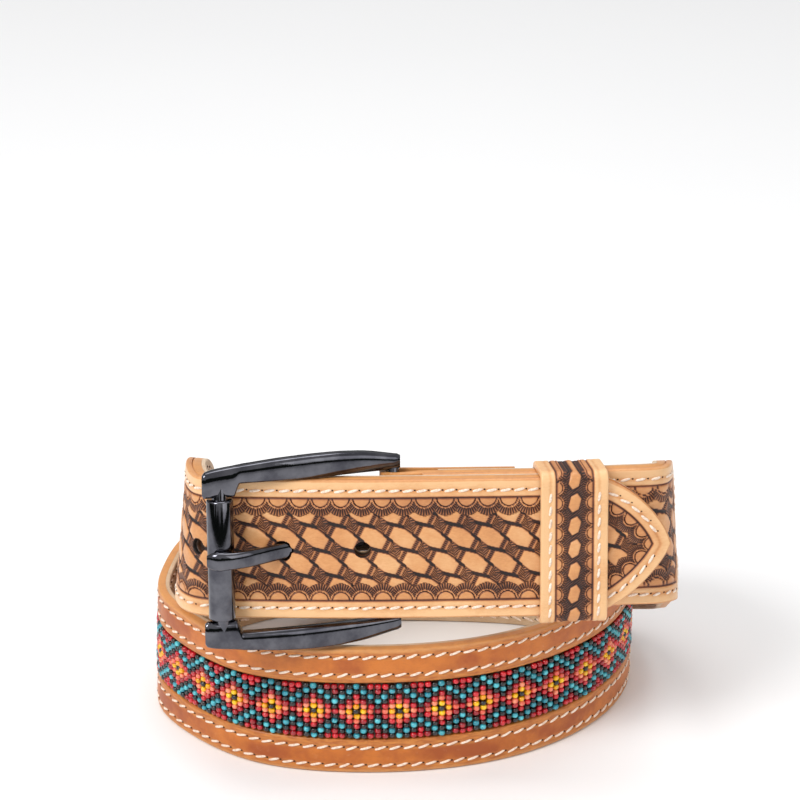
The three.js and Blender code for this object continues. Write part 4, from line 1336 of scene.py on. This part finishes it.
def frame_arm(side):
    shares = np.concatenate([np.linspace(0, 0.8, 50), np.linspace(0.806, 0.85, 16), np.linspace(0.86, 1, 14)])
    inner, outer, thick = (np.interp(shares, ARM_SECTIONS[:, 0], ARM_SECTIONS[:, k]) for k in (1, 2, 3))
    kernel = np.hanning(11)
    kernel /= kernel.sum()
    outer = np.convolve(np.pad(outer, 5, mode="edge"), kernel, mode="valid")
    thick = np.convolve(np.pad(thick, 5, mode="edge"), kernel, mode="valid")
    step = smooth_step(0.808, 0.842, shares)
    inner = (1 - 0.17 * step) * WINDOW_HEIGHT / 2
    outer = outer * FRAME_HEIGHT / 2
    half = (outer - inner) / 2
    middle = (outer + inner) / 2
    ends = np.sqrt(np.clip(1 - np.clip(1 - np.minimum(shares, 1 - shares) / 0.012, 0, 1) ** 2, 0.02, 1))
    ends = 0.8 + 0.2 * ends
    across, outward = squircle(half * ends, ARM_THICKNESS / 2 * thick * ends, 32, 3.2)
    along = (HEEL_BAR_INSET - shares * FRAME_LENGTH)[:, None]
    return capped_loft(lap_place(
        side * (across + middle[:, None]) - FRAME_DROP, frame_out(shares)[:, None] + outward, along,
    ))


frame_parts = [
    frame_arm(1), frame_arm(-1),
    tube((-FRAME_DROP, HEEL_OUT, 0), HEEL_BAR_RADIUS, WINDOW_HEIGHT / 2 + 1),
    tube((-FRAME_DROP, ROLLER_OUT, -BAR_SPACING), FRONT_BAR_RADIUS, WINDOW_HEIGHT / 2 + 1),
]
points, faces = stacked(frame_parts)
make_piece("buckle_casting", points, faces, nickel, "dark_nickel", ("buckle_frame",), sharp=50)

points, faces = tube((-FRAME_DROP, ROLLER_OUT, -BAR_SPACING), ROLLER_RADIUS, ROLLER_LENGTH / 2, 72, 0.6)
make_piece("buckle_sleeve", points, faces, nickel, "dark_nickel", ("buckle_roller",), sharp=50)


def prong_eye():
    angle = np.linspace(0, 2 * np.pi, 48, endpoint=False)
    profile = np.array([[-3, 2.4], [-3, 3.5], [-2.7, 3.85], [2.7, 3.85], [3, 3.5], [3, 2.4]])
    across = profile[:, :1] + 0 * angle
    outward = HEEL_OUT + profile[:, 1:] * np.cos(angle)
    along = profile[:, 1:] * np.sin(angle)
    rings = lap_place(across, outward, along)
    flat = rings.reshape(-1, 3)
    return flat, [loft_faces(len(profile), 48, closed_rows=True)]


points, faces = stacked([prong_skin(0, 32), prong_eye()])
make_piece("buckle_tongue", points, faces, nickel, "dark_nickel", ("buckle_prong",), sharp=50)
bpy.data.objects.remove(cutter)


# Floor, lights and surroundings
floor_finish, n, bsdf = new_material("floor")
floor_cloud = n.noise(n.add("ShaderNodeTexCoord").outputs["Object"], 3.0, 2)
n.put(n.mix(floor_cloud, srgb(246, 246, 247), srgb(250, 250, 250)), bsdf.inputs["Base Color"])
bsdf.inputs["Roughness"].default_value = 0.85
floor_mesh = bpy.data.meshes.new("floor")
floor_mesh.from_pydata([(-6, -6, 0), (6, -6, 0), (6, 6, 0), (-6, 6, 0)], [], [(0, 1, 2, 3)])
floor_mesh.materials.append(floor_finish)
floor = bpy.data.objects.new("floor", floor_mesh)
bpy.context.scene.collection.objects.link(floor)


def area_light(name, place, aim, size, power, colour=(1, 1, 1)):
    data = bpy.data.lights.new(name, "AREA")
    data.shape = "RECTANGLE"
    data.size, data.size_y = size
    data.energy = power
    data.color = colour
    light = bpy.data.objects.new(name, data)
    light.location = place
    direction = np.array(aim) - np.array(place)
    direction = direction / np.linalg.norm(direction)
    light.rotation_mode = "QUATERNION"
    light.rotation_quaternion = Vector(direction).to_track_quat("-Z", "Y")
    bpy.context.scene.collection.objects.link(light)
    return light


area_light("key", (-0.75, -0.75, 1.1), (0, 0, 0.05), (0.6, 0.6), 13)
area_light("fill", (0.9, -0.9, 0.6), (0, 0, 0.05), (0.9, 0.7), 2.6)
area_light("top", (0.0, 0.25, 1.3), (0, 0, 0), (0.9, 0.6), 5.5)
world = bpy.data.worlds.new("studio")
world.use_nodes = True
# Bright sky overhead, with a dark tree line near the horizon for the metal to reflect
sky_nodes = world.node_tree.nodes
sky_links = world.node_tree.links
sky_place = sky_nodes.new("ShaderNodeTexCoord")
sky_split = sky_nodes.new("ShaderNodeSeparateXYZ")
sky_links.new(sky_place.outputs["Generated"], sky_split.inputs[0])
sky_noise = sky_nodes.new("ShaderNodeTexNoise")
sky_noise.inputs["Scale"].default_value = 5
sky_noise.inputs["Detail"].default_value = 3
sky_links.new(sky_place.outputs["Generated"], sky_noise.inputs["Vector"])
sky_edge = sky_nodes.new("ShaderNodeMath")
sky_edge.operation = "MULTIPLY_ADD"
sky_edge.inputs[1].default_value = 0.5
sky_links.new(sky_noise.outputs[0], sky_edge.inputs[0])
sky_links.new(sky_split.outputs[2], sky_edge.inputs[2])
sky_ramp = sky_nodes.new("ShaderNodeValToRGB")
sky_ramp.color_ramp.elements[0].position = 0.44
sky_ramp.color_ramp.elements[0].color = (0.05, 0.06, 0.05, 1)
sky_ramp.color_ramp.elements[1].position = 0.5
sky_ramp.color_ramp.elements[1].color = (1, 1, 1, 1)
sky_links.new(sky_edge.outputs[0], sky_ramp.inputs[0])
sky_links.new(sky_ramp.outputs[0], sky_nodes["Background"].inputs[0])
sky_nodes["Background"].inputs[1].default_value = 0.6
bpy.context.scene.world = world
bpy.context.scene.view_settings.view_transform = "Standard"
